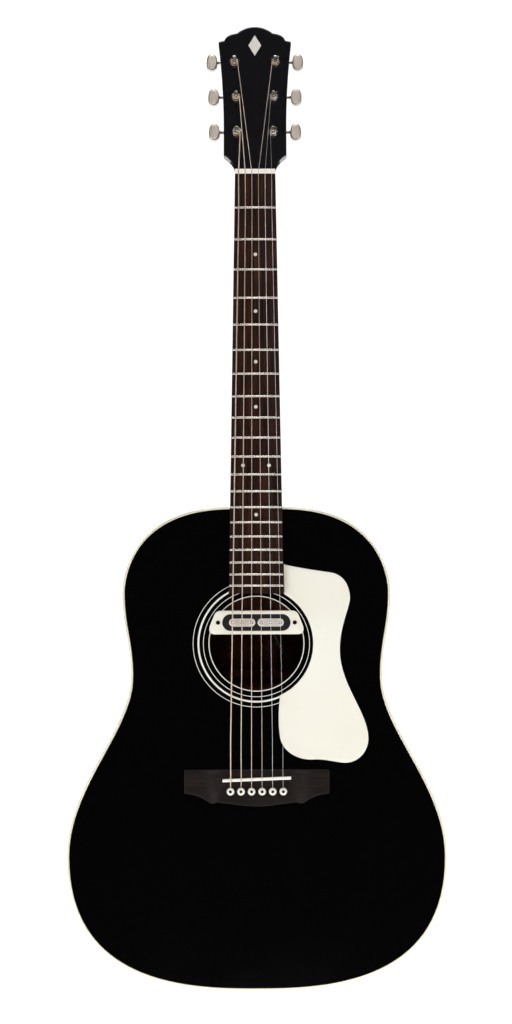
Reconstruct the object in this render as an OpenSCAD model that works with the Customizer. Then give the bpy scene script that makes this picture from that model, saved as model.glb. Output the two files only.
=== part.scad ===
// Steel-string acoustic guitar with sloping shoulders, a sound-hole pickup and open-geared tuners.
// X runs across the strings towards the thin ones, Y from the front to the back and Z up the neck.
// The origin is on the centreline, in the plane of the soundboard, under the nut's fingerboard edge.

/* [Scale and fingerboard] */
// Length of the open strings before compensation
scale_len = 648; // [600:1:680]
// Fret at which the neck meets the body
joint_fret = 14; // [12:1:14]
// Number of frets
fret_count = 20; // [18:1:21]
// Width of the fingerboard at the nut
nut_w = 43.6; // [42:0.1:48]
// Width of the fingerboard where the neck meets the body
joint_w = 56; // [54:0.5:60]
// Thickness of the fingerboard
board_t = 6.5; // [5.5:0.1:8]
// Length of the fingerboard past its last fret
board_tail = 8.6; // [5:0.1:10]
// Height of a fret's crown
fret_h = 1.1; // [0.9:0.05:1.4]
// Width of a fret's crown
fret_w = 2.4; // [2:0.1:2.9]
// Thickness of a fret's tang
tang_t = 0.6; // [0.5:0.05:0.7]
// Depth of a fret's tang
tang_h = 1.8; // [1.2:0.1:2.2]
// Diameter of the position dots
dot_d = 3.9; // [3:0.1:6.5]
// Depth of the pearl inlays
inlay_t = 1.2; // [0.8:0.1:1.4]
// Half the distance between the two dots at the octave
octave_dot_x = 14; // [10:0.5:17]

/* [Nut and strings] */
// Thickness of the nut along the strings
nut_t = 5; // [4:0.1:6.5]
// Height of the nut over the strings' seats
nut_lip = 1.0; // [0.6:0.1:1.5]
// Gap between the fret tops and the strings at the nut
nut_gap = 0.5; // [0.3:0.05:0.8]
// Distance between the outer strings at the nut
nut_spread = 35.7; // [34:0.1:38]
// Distance between the outer strings at the saddle
saddle_spread = 56.2; // [52:0.1:60]
// Height of the strings over the soundboard at the saddle
saddle_string_h = 12.2; // [11:0.1:14]
// Diameters of the strings, the thinnest first
string_d = [0.3, 0.41, 0.61, 0.81, 1.07, 1.35]; // [0.2:0.01:1.4]
// Diameter of a string's brass ball
ball_d = 3.9; // [3.5:0.1:4.2]

/* [Neck and headstock] */
// Thickness of the neck's wood at the nut
neck_t_nut = 14.5; // [13:0.1:17]
// Thickness of the neck's wood at the heel
neck_t_heel = 16; // [15:0.1:19]
// Angle at which the headstock leans back
head_tilt = 14; // [11:0.5:17]
// Length of the headstock's face
head_len = 165.6; // [156:0.1:180]
// Width of the headstock at its tip
head_w_tip = 79; // [76:0.5:86]
// Width of the headstock at the lowest tuners
head_w_low = 68; // [64:0.5:74]
// Thickness of the headstock's wood
head_t = 15; // [13:0.1:17]
// Thickness of the black veneer on the headstock
veneer_t = 1.5; // [1:0.1:2.5]
// Drop from the top of the neck's wood to the headstock's face
head_drop = 2; // [1:0.1:3]
// Width of the heel at its cap
heel_foot_w = 28; // [24:0.5:34]
// Reach of the heel's foot along the neck
heel_foot = 21; // [18:0.5:26]
// Extra reach of the heel where it meets the neck's shaft
heel_sweep = 65; // [50:1:80]
// Thickness of the heel cap
heel_cap_t = 2.5; // [1.5:0.1:4]
// Width of the dovetail at the heel
tenon_w = 21; // [18:0.5:24]
// Length of the dovetail inside the neck block
tenon_l = 20; // [16:0.5:24]
// Depth of the dovetail below the soundboard
tenon_deep = 78; // [70:1:84]
// Diameter of the truss rod
rod_d = 6; // [5:0.1:7]
// Gap between the soundboard and the truss rod's nut
rod_gap = 0; // [0:0.05:0.4]

/* [Body] */
// Length of the body
body_len = 522; // [500:1:560]
// Width of the upper bout
upper_bout = 289; // [270:1:310]
// Width of the waist
waist = 271; // [250:1:285]
// Width of the lower bout
lower_bout = 410.4; // [380:0.1:430]
// Distance from the neck joint to the widest part of the upper bout
upper_at = 93; // [85:1:105]
// Distance from the neck joint to the waist
waist_at = 183.5; // [170:0.5:200]
// Distance from the neck joint to the widest part of the lower bout
lower_at = 378; // [360:1:400]
// Depth of the body at the neck
depth_neck = 100; // [95:1:110]
// Depth of the body at the tail
depth_tail = 122; // [112:1:130]
// Radius of the back's arch
arch_r = 4600; // [3600:100:6000]
// Thickness of the soundboard
top_t = 2.8; // [2.4:0.1:3.4]
// Thickness of the back
back_t = 2.5; // [2.2:0.1:3.2]
// Thickness of the sides, which is the binding's width too
side_t = 2.2; // [1.8:0.1:2.8]
// Height of the binding
binding_h = 6; // [4:0.1:7]
// Width of the kerfed linings
lining_w = 6; // [4:0.5:8]
// Height of the kerfed linings
lining_h = 15; // [10:0.5:18]
// Width of the neck block
neck_block_w = 80; // [70:1:90]
// Thickness of the neck block
neck_block_t = 48; // [40:1:52]
// Width of the end block
end_block_w = 70; // [60:1:90]
// Thickness of the end block
end_block_t = 18; // [14:1:25]
// Width of the soundboard's main braces
brace_w = 8; // [6:0.5:9]
// Height of the soundboard's main braces
brace_h = 14; // [10:0.5:16]

/* [Sound hole and pickguard] */
// Diameter of the sound hole
hole_d = 101.6; // [96:0.1:105]
// Distance from the neck joint to the centre of the sound hole
hole_at = 147.4; // [146:0.1:152]
// Depth of the rosette's channels
rosette_t = 0.8; // [0.5:0.1:1.2]
// Thickness of the pickguard
guard_t = 1; // [0.6:0.1:2]

/* [Bridge] */
// Extra string length at the saddle's middle
compensation = 4.4; // [2:0.1:6]
// Slant of the saddle across the strings
saddle_slant = 2.2; // [1:0.1:3.5]
// Width of the bridge
bridge_w = 156.8; // [150:0.1:170]
// Thickness of the bridge's middle
bridge_t = 8.5; // [7:0.1:9]
// Thickness of the bridge's wing tips
wing_t = 3.2; // [2.5:0.1:4.5]
// Distance from the saddle to the bridge's front edge
bridge_front = 9.6; // [9:0.1:14]
// Distance from the saddle to the back of the bridge's wings
bridge_back = 16.4; // [15:0.1:20]
// Distance from the saddle to the back of the bridge's belly
belly_back = 29.3; // [26:0.1:33]
// Length of the saddle
saddle_w = 74; // [70:0.5:78]
// Thickness of the saddle
saddle_t = 3.3; // [2.5:0.1:4.5]
// Distance from the saddle to the bridge pins
pin_at = 13; // [12:0.1:16]
// Distance between the outer bridge pins
pin_spread = 56.9; // [54:0.1:60]
// Diameter of a pin's shank
pin_d = 5; // [4.8:0.1:5.4]
// Diameter of a pin's head
pin_head_d = 8.4; // [7.5:0.1:9]
// Thickness of the bridge plate
plate_t = 2.5; // [2:0.1:3.5]

/* [Pickup] */
// Distance from the centre of the sound hole up to the pickup's middle
pickup_at = 23; // [20:0.5:28]
// Width of the pickup's cover
pickup_w = 103; // [100:0.5:110]
// Breadth of the pickup's cover along the strings
pickup_l = 25.5; // [24:0.5:28]
// Height of the pickup's cover over the soundboard
pickup_h = 5.5; // [4:0.1:6]
// Width of the black core
core_w = 73.5; // [70:0.5:76]
// Breadth of the black core along the strings
core_l = 18; // [16:0.5:20]
// Depth of the core below the soundboard
core_deep = 14; // [10:0.5:18]
// Width of a coil bar
coil_w = 28.3; // [26:0.1:30]
// Breadth of a coil bar
coil_l = 8.6; // [7:0.1:10]
// Diameter of a pole screw's head
pole_d = 4.2; // [3:0.1:5]
// Diameter of the pickup's lead
lead_d = 3; // [2:0.1:4]
// Diameter of the plug that the output jack takes
plug_d = 6.35; // [6.35, 3.5]
// Outer diameter of the output jack's barrel
jack_d = 12; // [11:0.1:14]

/* [Tuners] */
// Distance of the lowest posts from the foot of the headstock's face
low_post = 43.1; // [40:0.1:46]
// Distance between one row of posts and the next
post_pitch = 40.7; // [39:0.1:42]
// Distance of the lowest posts from the centreline
low_post_x = 19.6; // [18.5:0.1:21]
// Distance of the middle posts from the centreline
mid_post_x = 20.4; // [19:0.1:22]
// Distance of the highest posts from the centreline
high_post_x = 22.3; // [21:0.1:24]
// Diameter of a string post
post_d = 6; // [5.6:0.1:6.4]
// Diameter of a post's waist, where the string winds
waist_d = 5.2; // [4.6:0.1:5.4]
// Height of a post over the headstock's face
post_h = 10.5; // [9.5:0.1:12]
// Height of a post's string hole
post_hole_h = 7.6; // [7.4:0.1:8]
// Diameter of a bushing's barrel
bushing_d = 8.8; // [8:0.1:9.5]
// Diameter of a bushing's flange
bushing_flange_d = 10.2; // [10:0.1:12]
// Number of teeth on a tuner gear
gear_teeth = 14; // [12:1:16]
// Pitch of the worm and the gear
worm_pitch = 2.2; // [2:0.05:2.4]
// Diameter of the worm over its thread
worm_d = 5.8; // [5.4:0.1:6]
// Thickness of the gear
gear_t = 3; // [2.5:0.1:3.2]
// Diameter of the worm shaft in its bearings
shaft_d = 3; // [2.6:0.1:3.2]
// Thickness of the tuner's plate
tuner_plate_t = 1; // [0.8:0.1:1.5]
// Distance from a post to the middle of its knob
knob_out = 24.7; // [23:0.1:30]
// Breadth of a knob along its shaft
knob_w = 12.5; // [11:0.1:14]
// Height of a knob
knob_l = 19.7; // [17:0.1:22]
// Thickness of a knob
knob_t = 6.4; // [5:0.1:8]

/* [Fits] */
// Gap of a turning shaft in its bearing, on the radius
running_gap = 0.06; // [0.03:0.01:0.1]
// Gap of glued and screwed pieces in their seats
seat_gap = 0.05; // [0.02:0.01:0.1]
// Room between a turning piece and a fixed one
turn_room = 0.3; // [0.25:0.05:0.5]

/* [Hidden] */
$fn = 48;
tiny = 0.01;
past = 1;

function lerp(a, b, t) = a + (b - a) * t;
function unit(v) = v / norm(v);
function reversed(list) = [for (i = [len(list) - 1:-1:0]) list[i]];
function flipped(pts) = [for (p = reversed(pts)) [-p[0], p[1]]];
function bend(a, b, c, steps) = [for (i = [0:steps]) let (t = i / steps)
    pow(1 - t, 2) * a + 2 * t * (1 - t) * b + t * t * c];
function cubic(p, t) = pow(1 - t, 3) * p[0] + 3 * pow(1 - t, 2) * t * p[1]
    + 3 * (1 - t) * t * t * p[2] + pow(t, 3) * p[3];
function cubic_slope(p, t) = pow(1 - t, 2) * (p[1] - p[0]) + 2 * (1 - t) * t * (p[2] - p[1])
    + t * t * (p[3] - p[2]);
function arc(centre, r, a0, a1, steps) = [for (i = [0:steps]) let (a = lerp(a0, a1, i / steps))
    centre + r * [cos(a), sin(a)]];

// Frets and the fingerboard's taper
function fret_z(n) = -scale_len * (1 - pow(2, -n / 12));
joint_z = fret_z(joint_fret);
board_end = fret_z(fret_count) - board_tail;
function board_half(z) = (nut_w + (joint_w - nut_w) * z / joint_z) / 2;

// Body outline: four curves from the neck joint round the treble side to the tail.
// The shares say how far each curve's handles reach towards its neighbour.
shoulder_full = 0.88;
shoulder_drop = 0.25;
waist_entry = 0.39;
waist_exit = 0.42;
hip_entry = 0.29;
hip_exit = 0.4;
tail_full = 0.31;
outline_steps = 16;
tail_z = joint_z - body_len;
upper_z = joint_z - upper_at;
waist_z = joint_z - waist_at;
lower_z = joint_z - lower_at;
neck_flat = joint_w / 2;
upper_x = upper_bout / 2;
waist_x = waist / 2;
lower_x = lower_bout / 2;
bouts = [
    [[neck_flat, joint_z], [lerp(neck_flat, upper_x, shoulder_full), joint_z],
        [upper_x, lerp(upper_z, joint_z, shoulder_drop)], [upper_x, upper_z]],
    [[upper_x, upper_z], [upper_x, lerp(upper_z, waist_z, waist_entry)],
        [waist_x, lerp(waist_z, upper_z, waist_exit)], [waist_x, waist_z]],
    [[waist_x, waist_z], [waist_x, lerp(waist_z, lower_z, hip_entry)],
        [lower_x, lerp(lower_z, waist_z, hip_exit)], [lower_x, lower_z]],
    [[lower_x, lower_z], [lower_x, tail_z], [lower_x * tail_full, tail_z], [0, tail_z]]
];
function inset_point(curve, t, inset) = let (d = unit(cubic_slope(curve, t)))
    cubic(curve, t) + inset * [d[1], -d[0]];
function half_outline(inset) = concat([[0, joint_z - inset]],
    [for (curve = bouts, i = [0:outline_steps - 1]) inset_point(curve, i / outline_steps, inset)],
    [[0, tail_z + inset]]);
function outline(inset) = let (half = half_outline(inset), n = len(half) - 1)
    concat([for (i = [1:n]) half[i]], [for (i = [n - 1:-1:1]) [-half[i][0], half[i][1]]]);
inner = side_t + lining_w;

// The back: an arch of flat strips that is deeper at the tail than at the neck
back_pitch = atan((depth_tail - depth_neck) / body_len);
arch_steps = 20;
arch_half = lower_x + past * 5;
function arch_drop(x) = arch_r - sqrt(arch_r * arch_r - x * x);

// Strings, counted from the thinnest, on the treble side
string_count = len(string_d);
function string_share(n) = 0.5 - (n - 1) / (string_count - 1);
function nut_x(n) = nut_spread * string_share(n);
function saddle_x(n) = saddle_spread * string_share(n);
function pin_x(n) = pin_spread * string_share(n);
function string_r(n) = string_d[n - 1] / 2;
nut_string_h = board_t + fret_h + nut_gap;

// Bridge
saddle_z = -scale_len - compensation;
pin_z = saddle_z - pin_at;
bridge_z0 = saddle_z + bridge_front;
bridge_z1 = saddle_z - bridge_back;
bridge_z2 = saddle_z - belly_back;
pin_gap = 0.1;
pin_hole_d = pin_d + 2 * pin_gap;
groove_w = max(string_d) + 0.25;
groove_floor = 0.8;
string_seat = pin_d / 2 - max(string_d) / 2 - 0.17;

// Truss rod: the room round it and its start below the nut
rod_room = 0.1;
rod_start = 20;
rod_nut_wall = 0.8;
rod_deep = top_t + rod_gap + rod_d / 2 + rod_nut_wall;

// Sound hole and pickup
hole_z = joint_z - hole_at;
hole_r = hole_d / 2;
pickup_z = hole_z + pickup_at;

// Soundboard bracing
cross_share = 0.278;
cross_gap = (hole_z - hole_r - pin_z) * cross_share;
hole_room = 7;
cross_z = hole_z - hole_r - cross_gap;
cross_angle = asin((hole_r + brace_w / 2 + hole_room) / (hole_r + cross_gap));
block_end_z = joint_z - side_t - neck_block_t;

// Tuners: strings 1 to 3 wind on the treble side and 4 to 6 on the bass side
post_along = [low_post, low_post + post_pitch, low_post + 2 * post_pitch];
post_out = [low_post_x, mid_post_x, high_post_x];
function tuner_row(n) = n <= 3 ? n - 1 : string_count - n;
function tuner_side(n) = n <= 3 ? 1 : -1;
function post_x(n) = tuner_side(n) * post_out[tuner_row(n)];
function post_u(n) = post_along[tuner_row(n)];
gear_pitch_r = gear_teeth * worm_pitch / 360 * 180 / PI;
tooth_h = 0.6;
tooth_root = 0.7;
gear_tip_r = gear_pitch_r + tooth_h;
worm_pitch_r = worm_d / 2 - tooth_h;
worm_root_r = worm_pitch_r - tooth_root;
worm_axis = gear_pitch_r + worm_pitch_r;
worm_turns = 3;
worm_len = worm_turns * worm_pitch;
back_n = -veneer_t - head_t;
plate_n = back_n - tuner_plate_t;
shaft_n = plate_n - worm_d / 2 - turn_room;
gear_n = shaft_n + gear_t / 2;
post_r = post_d / 2;

/* Frames and sweeps */

// Sweep a drawing that lies in the plane of the soundboard from depth y0 to depth y1
module slab(y0, y1) {
    translate([0, y1, 0])
        rotate([90, 0, 0])
            linear_extrude(y1 - y0)
                children();
}

// Sweep a drawing of the X-Z plane's side view, given as depth and height, across the width
module across(x0, x1) {
    translate([x0, 0, 0])
        rotate([90, 0, 90])
            linear_extrude(x1 - x0)
                children();
}

// Everything that lies in front of the back's surface, moved forward by gap
module under_back(gap) {
    arch = [for (i = [0:arch_steps]) let (x = lerp(-arch_half, arch_half, i / arch_steps))
        [x, -gap - arch_drop(x)]];
    translate([0, depth_tail, tail_z])
        rotate([back_pitch, 0, 0])
            translate([0, 0, -body_len])
                linear_extrude(3 * body_len)
                    polygon(concat(arch, [[arch_half, -2 * depth_tail], [-arch_half, -2 * depth_tail]]));
}

// The headstock's own frame: X across, Y up its face and Z out of its face
module on_head() {
    translate([0, -head_drop, nut_t])
        rotate([90 - head_tilt, 0, 0])
            children();
}

// The frame of one tuner, at its post's axis, with X towards its knob
module at_tuner(n) {
    on_head()
        translate([post_x(n), post_u(n), 0])
            children();
}

// Mirror a tuner's parts to the bass side
module to_side(n) {
    mirror([tuner_side(n) < 0 ? 1 : 0, 0, 0])
        children();
}

module rod_y(x, z, d, y0, y1) {
    translate([x, y1, z])
        rotate([90, 0, 0])
            cylinder(d = d, h = y1 - y0);
}

module rod_z(x, y, d, z0, z1) {
    translate([x, y, z0])
        cylinder(d = d, h = z1 - z0);
}

module box(a, b) {
    translate(a)
        cube(b - a);
}

/* Body */

// A band of the given width all round the body, inset from its outline
module body_ring(inset, width) {
    difference() {
        polygon(outline(inset));
        polygon(outline(inset + width));
    }
}

// Space of the heel's dovetail, grown by gap
module tenon_space(gap) {
    flare = 3.5;
    w0 = tenon_w / 2 + gap;
    w1 = w0 + flare;
    slab(top_t + seat_gap - gap, tenon_deep + gap)
        polygon([[-w0, joint_z + past], [w0, joint_z + past], [w0, joint_z],
            [w1, joint_z - tenon_l - gap], [-w1, joint_z - tenon_l - gap], [-w0, joint_z]]);
}

module rod_space() {
    rod_z(0, rod_deep, rod_d + 2 * rod_room, block_end_z - past, joint_z);
}

module jack_space(d) {
    rod_z(0, depth_tail / 2, d, tail_z - past, tail_z + side_t + end_block_t + past);
}

module rosette_rings(gap) {
    lines = [[hole_r, 1], [hole_r + 6.2, 0.7], [hole_r + 10.9, 2], [hole_r + 17.3, 0.7]];
    for (line = lines)
        difference() {
            rod_y(0, hole_z, 2 * (line[0] + line[1] - gap), 0, rosette_t);
            rod_y(0, hole_z, 2 * (line[0] + gap), -past, rosette_t + past);
        }
}

module top() {
    color([0.04, 0.04, 0.045])
        difference() {
            slab(0, top_t)
                polygon(outline(side_t));
            rod_y(0, hole_z, hole_d, -past, top_t + past);
            for (n = [1:string_count])
                rod_y(pin_x(n), pin_z, pin_hole_d, -past, top_t + past);
            rosette_rings(0);
        }
}

module rosette() {
    color([0.93, 0.91, 0.85])
        rosette_rings(tiny);
}

module back() {
    color([0.04, 0.04, 0.045])
        difference() {
            intersection() {
                slab(depth_neck / 2, 2 * depth_tail)
                    polygon(outline(side_t));
                under_back(0);
            }
            under_back(back_t);
        }
}

// One side: a bent strip from the neck joint to the tail
module side_wall() {
    strip = concat(half_outline(0), reversed(half_outline(side_t)));
    difference() {
        intersection() {
            slab(binding_h, 2 * depth_tail)
                polygon(strip);
            under_back(binding_h);
        }
        tenon_space(seat_gap);
        rod_space();
        jack_space(jack_d + 2 * seat_gap);
    }
}

module side_treble() {
    color([0.04, 0.04, 0.045])
        side_wall();
}

module side_bass() {
    color([0.04, 0.04, 0.045])
        mirror([1, 0, 0])
            side_wall();
}

module binding() {
    color([0.93, 0.9, 0.8]) {
        difference() {
            slab(0, binding_h)
                body_ring(0, side_t);
            tenon_space(seat_gap);
        }
        difference() {
            intersection() {
                slab(depth_neck / 2, 2 * depth_tail)
                    body_ring(0, side_t);
                under_back(0);
            }
            under_back(binding_h);
        }
    }
}

module block_zones() {
    box([-neck_block_w / 2, 0, block_end_z], [neck_block_w / 2, 2 * depth_tail, joint_z]);
    box([-end_block_w / 2, 0, tail_z], [end_block_w / 2, 2 * depth_tail, tail_z + side_t + end_block_t]);
}

module linings() {
    color([0.72, 0.5, 0.34]) {
        difference() {
            slab(top_t, top_t + lining_h)
                body_ring(side_t, lining_w);
            block_zones();
        }
        difference() {
            intersection() {
                slab(depth_neck / 2, 2 * depth_tail)
                    body_ring(side_t, lining_w);
                under_back(back_t);
            }
            under_back(back_t + lining_h);
            block_zones();
        }
    }
}

// The wood between the soundboard and the back, inside the sides
module rim_core() {
    intersection() {
        slab(top_t, 2 * depth_tail)
            polygon(outline(side_t));
        under_back(back_t);
        children();
    }
}

module neck_block() {
    color([0.6, 0.4, 0.26])
        difference() {
            rim_core()
                box([-neck_block_w / 2, 0, block_end_z], [neck_block_w / 2, 2 * depth_tail, joint_z]);
            tenon_space(seat_gap);
            rod_space();
        }
}

module end_block() {
    color([0.6, 0.4, 0.26])
        difference() {
            rim_core()
                box([-end_block_w / 2, 0, tail_z],
                    [end_block_w / 2, 2 * depth_tail, tail_z + side_t + end_block_t]);
            jack_space(jack_d + 2 * seat_gap);
        }
}

// One arm of the X brace, drawn from the front
module cross_arm(turn, w) {
    intersection() {
        translate([0, cross_z])
            rotate(turn * cross_angle)
                square([w, 2 * body_len], center = true);
        polygon(outline(inner + past));
    }
}

// A bar across the soundboard, drawn from the front
module top_bar(x, z, turn, w, l) {
    translate([x, z])
        rotate(turn)
            square([l, w], center = true);
}

module top_braces() {
    arm_room = 2;
    bar_h = 9;
    bar_w = 7;
    cross_bar_w = 9;
    cross_bar_z = (block_end_z + hole_z + hole_r) / 2;
    wrench_d = 10;
    patch_x = hole_r + 11;
    patch_l = 60;
    half_h = top_t + brace_h / 2;
    color([0.86, 0.7, 0.48]) {
        difference() {
            slab(top_t, top_t + brace_h)
                cross_arm(1, brace_w);
            slab(half_h, top_t + brace_h + past)
                cross_arm(-1, brace_w);
        }
        difference() {
            slab(top_t, top_t + brace_h)
                cross_arm(-1, brace_w);
            slab(top_t - past, half_h)
                cross_arm(1, brace_w);
        }
        difference() {
            slab(top_t, top_t + brace_h)
                intersection() {
                    top_bar(0, cross_bar_z, 0, cross_bar_w, lower_bout);
                    polygon(outline(inner + past));
                }
            rod_z(0, rod_deep, wrench_d, block_end_z - body_len, joint_z);
        }
        difference() {
            slab(top_t, top_t + bar_h)
                intersection() {
                    union() {
                        top_bar(30, bridge_z2 - 62, -35, bar_w, 170);
                        top_bar(38, bridge_z2 - 108, -35, bar_w, 150);
                        for (side = [-1, 1]) {
                            top_bar(side * 100, cross_z - 20, side * 20, bar_w, 56);
                            top_bar(side * 128, cross_z - 66, side * 20, bar_w, 56);
                            top_bar(side * patch_x, hole_z + 10, 90, bar_w, patch_l);
                        }
                    }
                    polygon(outline(inner + past));
                }
            slab(top_t - past, top_t + brace_h)
                for (turn = [-1, 1])
                    cross_arm(turn, brace_w + 2 * arm_room);
        }
    }
}

module bridge_plate() {
    arm_gap = brace_w / 2 / cos(cross_angle) + past;
    z0 = bridge_z0 + 2;
    z1 = bridge_z2 - 2;
    color([0.78, 0.62, 0.42])
        difference() {
            slab(top_t, top_t + plate_t)
                polygon([for (c = [[1, z0], [1, z1], [-1, z1], [-1, z0]])
                    [c[0] * ((cross_z - c[1]) * tan(cross_angle) - arm_gap), c[1]]]);
            for (n = [1:string_count])
                rod_y(pin_x(n), pin_z, pin_hole_d, 0, top_t + plate_t + past);
        }
}

// Places and sizes of the back's braces: distance from the neck joint, width and height
back_bars = [[75, 8, 14], [185, 8, 14], [300, 16, 9], [410, 16, 9]];

module back_bar(bar, gap) {
    z = joint_z - bar[0];
    box([-lower_x, 0, z - bar[1] / 2 - gap], [lower_x, 2 * depth_tail, z + bar[1] / 2 + gap]);
}

module back_braces() {
    color([0.86, 0.7, 0.48])
        for (bar = back_bars)
            difference() {
                intersection() {
                    slab(depth_neck / 2, 2 * depth_tail)
                        polygon(outline(inner + past));
                    under_back(back_t);
                    back_bar(bar, 0);
                }
                under_back(back_t + bar[2]);
            }
}

module back_strip() {
    strip_w = 18;
    strip_t = 3;
    color([0.86, 0.7, 0.48])
        difference() {
            intersection() {
                box([-strip_w / 2, depth_neck / 2, tail_z + side_t + end_block_t],
                    [strip_w / 2, 2 * depth_tail, block_end_z]);
                under_back(back_t);
            }
            under_back(back_t + strip_t);
            for (bar = back_bars)
                back_bar(bar, seat_gap);
        }
}

/* Pickguard: a sheet that follows the sound hole and widens below it */

guard_ring = hole_r + 10.4;
guard_foot = [25.4, -55.7];
guard_curves = [
    [[80, 76.8], [91.7, 75], [99.8, 66.4], [101, 51]],
    [[101, 51], [102, 40], [90.4, 22], [90, -6]],
    [[90, -6], [89.6, -44], [119, -72], [120.6, -101]],
    [[120.6, -101], [121.4, -115], [111, -128.6], [96, -128.8]],
    [[96, -128.8], [86, -128.8], [76, -124.4], [60, -125.3]],
    [[60, -125.3], [44, -126], [28.5, -116.5], [25.4, -102.5]],
    [[25.4, -102.5], [23.2, -90], [23.2, -74], guard_foot]
];

module pickguard() {
    steps = 8;
    board_gap = 0.4;
    head = hole_z + 85.6;
    edge_low = board_half(board_end) + board_gap;
    edge_high = board_half(head) + board_gap;
    top_edge = [for (i = [0:steps - 1])
        cubic([[edge_high, head], [45, head - 3.8], [70, head - 7.4], [80, head - 8.8]], i / steps)];
    corner = [[80, head - 8.8]];
    rest = [for (curve = guard_curves, i = [1:steps]) cubic(curve, i / steps) + [0, hole_z]];
    a0 = atan2(guard_foot[1], guard_foot[0]);
    a1 = acos(edge_low / guard_ring);
    ring = arc([0, hole_z], guard_ring, a0, a1, 3 * steps);
    color([0.94, 0.92, 0.84])
        difference() {
            slab(-guard_t, 0)
                polygon(concat(top_edge, corner, rest, ring));
            box([-bridge_w, -bridge_t, bridge_z2 - body_len], [bridge_w, past, bridge_z0 + past]);
        }
}

/* Bridge */

module bridge_outline() {
    half = bridge_w / 2;
    ridge = 43;
    notch = 0.75;
    belly = bend([ridge, lerp(bridge_z1, bridge_z2, notch)], [ridge * 0.55, bridge_z2], [0, bridge_z2], 8);
    right = concat([[half - 1, bridge_z0], [half, bridge_z0 - 1], [half, bridge_z1 + 1]], belly);
    polygon(concat(right, flipped(right)));
}

// Front view of the bridge's thickness: full in the middle, thin at the wing tips
module bridge_profile() {
    half = bridge_w / 2 + past;
    ridge = 43;
    scoop = bend([ridge, bridge_t], [ridge + 5, wing_t + 0.6], [half, wing_t], 8);
    right = concat(scoop, [[half, -past]]);
    polygon(concat(right, flipped(right)));
}

module at_saddle() {
    translate([0, 0, saddle_z])
        rotate([0, -saddle_slant, 0])
            children();
}

saddle_deep = 6;
saddle_crest = 0.5;

module bridge() {
    slot_half = saddle_w / 2 + seat_gap;
    slot_t = saddle_t / 2 + seat_gap;
    sink_d = pin_hole_d + 3;
    color([0.16, 0.13, 0.13])
        difference() {
            intersection() {
                slab(-bridge_t, 0)
                    bridge_outline();
                translate([0, 0, bridge_z2 - past])
                    mirror([0, 1, 0])
                        linear_extrude(bridge_z0 - bridge_z2 + 2 * past)
                            bridge_profile();
            }
            at_saddle()
                box([-slot_half, -bridge_t - past, -slot_t], [slot_half, saddle_deep - bridge_t, slot_t]);
            for (n = [1:string_count]) {
                rod_y(pin_x(n), pin_z, pin_hole_d, -bridge_t - past, past);
                translate([pin_x(n), -bridge_t, pin_z])
                    rotate([-90, 0, 0])
                        cylinder(d1 = sink_d, d2 = pin_hole_d - tiny, h = 1.5);
            }
        }
}

// Bone saddle: flat front, with a crown that falls away behind the strings' crest
module saddle() {
    front = 0.2;
    back_fall = 0.7;
    t = saddle_t / 2;
    foot = saddle_deep - bridge_t;
    crown = -saddle_string_h;
    color([0.95, 0.93, 0.86])
        at_saddle()
            across(-saddle_w / 2, saddle_w / 2)
                polygon([[foot, -t], [foot, t], [crown + front, t], [crown, saddle_crest],
                    [crown, -saddle_crest], [crown + back_fall, -t]]);
}

pin_tip_y = top_t + plate_t + 4;
pin_head_y = -bridge_t - 3.4;

module bridge_pins() {
    head_r = pin_head_d / 2;
    shank = pin_d / 2;
    neck_y = sqrt(head_r * head_r - shank * shank);
    head = [for (a = [90:-15:-30]) [head_r * cos(a), head_r * sin(a)]];
    foot = pin_head_y - pin_tip_y;
    profile = concat(head, [[shank, -neck_y], [shank, foot + 2], [shank - 0.8, foot], [0, foot]]);
    color([0.94, 0.93, 0.88])
        for (n = [1:string_count])
            difference() {
                translate([pin_x(n), pin_head_y, pin_z])
                    rotate([90, 0, 0])
                        rotate_extrude()
                            polygon(profile);
                box([pin_x(n) - groove_w / 2, -bridge_t - 2.2, pin_z + groove_floor],
                    [pin_x(n) + groove_w / 2, pin_tip_y + past, pin_z + pin_head_d]);
            }
}

/* Fittings of the body */

module output_jack() {
    flange_d = 17;
    flange_t = 1.6;
    inside = 16;
    z1 = tail_z + side_t + end_block_t;
    color([0.75, 0.74, 0.7])
        difference() {
            union() {
                rod_z(0, depth_tail / 2, jack_d, tail_z - tiny, z1 + inside);
                rod_z(0, depth_tail / 2, flange_d, tail_z - flange_t, tail_z);
                rod_z(0, depth_tail / 2, flange_d, z1, z1 + 2.5);
            }
            rod_z(0, depth_tail / 2, plug_d + 0.15, tail_z - flange_t - past, z1 + inside - 2);
        }
}

button_y = 66;
button_seat_x = heel_foot_w / 2;
button_z = joint_z + 12;
button_d = 14;
button_screw_d = 3;
button_screw_l = 10;

module strap_button() {
    r = button_d / 2;
    seat = [[0, 0], [r, 0], [r, 1.5], [r - 3, 4]];
    head = [[r - 3.4, 8], [r - 1.5, 10.5], [r, 11.5], [r, 13], [0, 13]];
    color([0.78, 0.77, 0.74])
        translate([button_seat_x, button_y, button_z])
            rotate([0, 90, 0]) {
                rotate_extrude()
                    polygon(concat(seat, head));
                translate([0, 0, -button_screw_l])
                    cylinder(d = button_screw_d, h = button_screw_l + tiny);
            }
}

/* Neck */

head_flare = 47;
head_flank_w = 66.4;
head_crest_w = 39;
head_step = 16.1;
head_crown = 7.6;
head_shoulder = 3;

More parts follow.
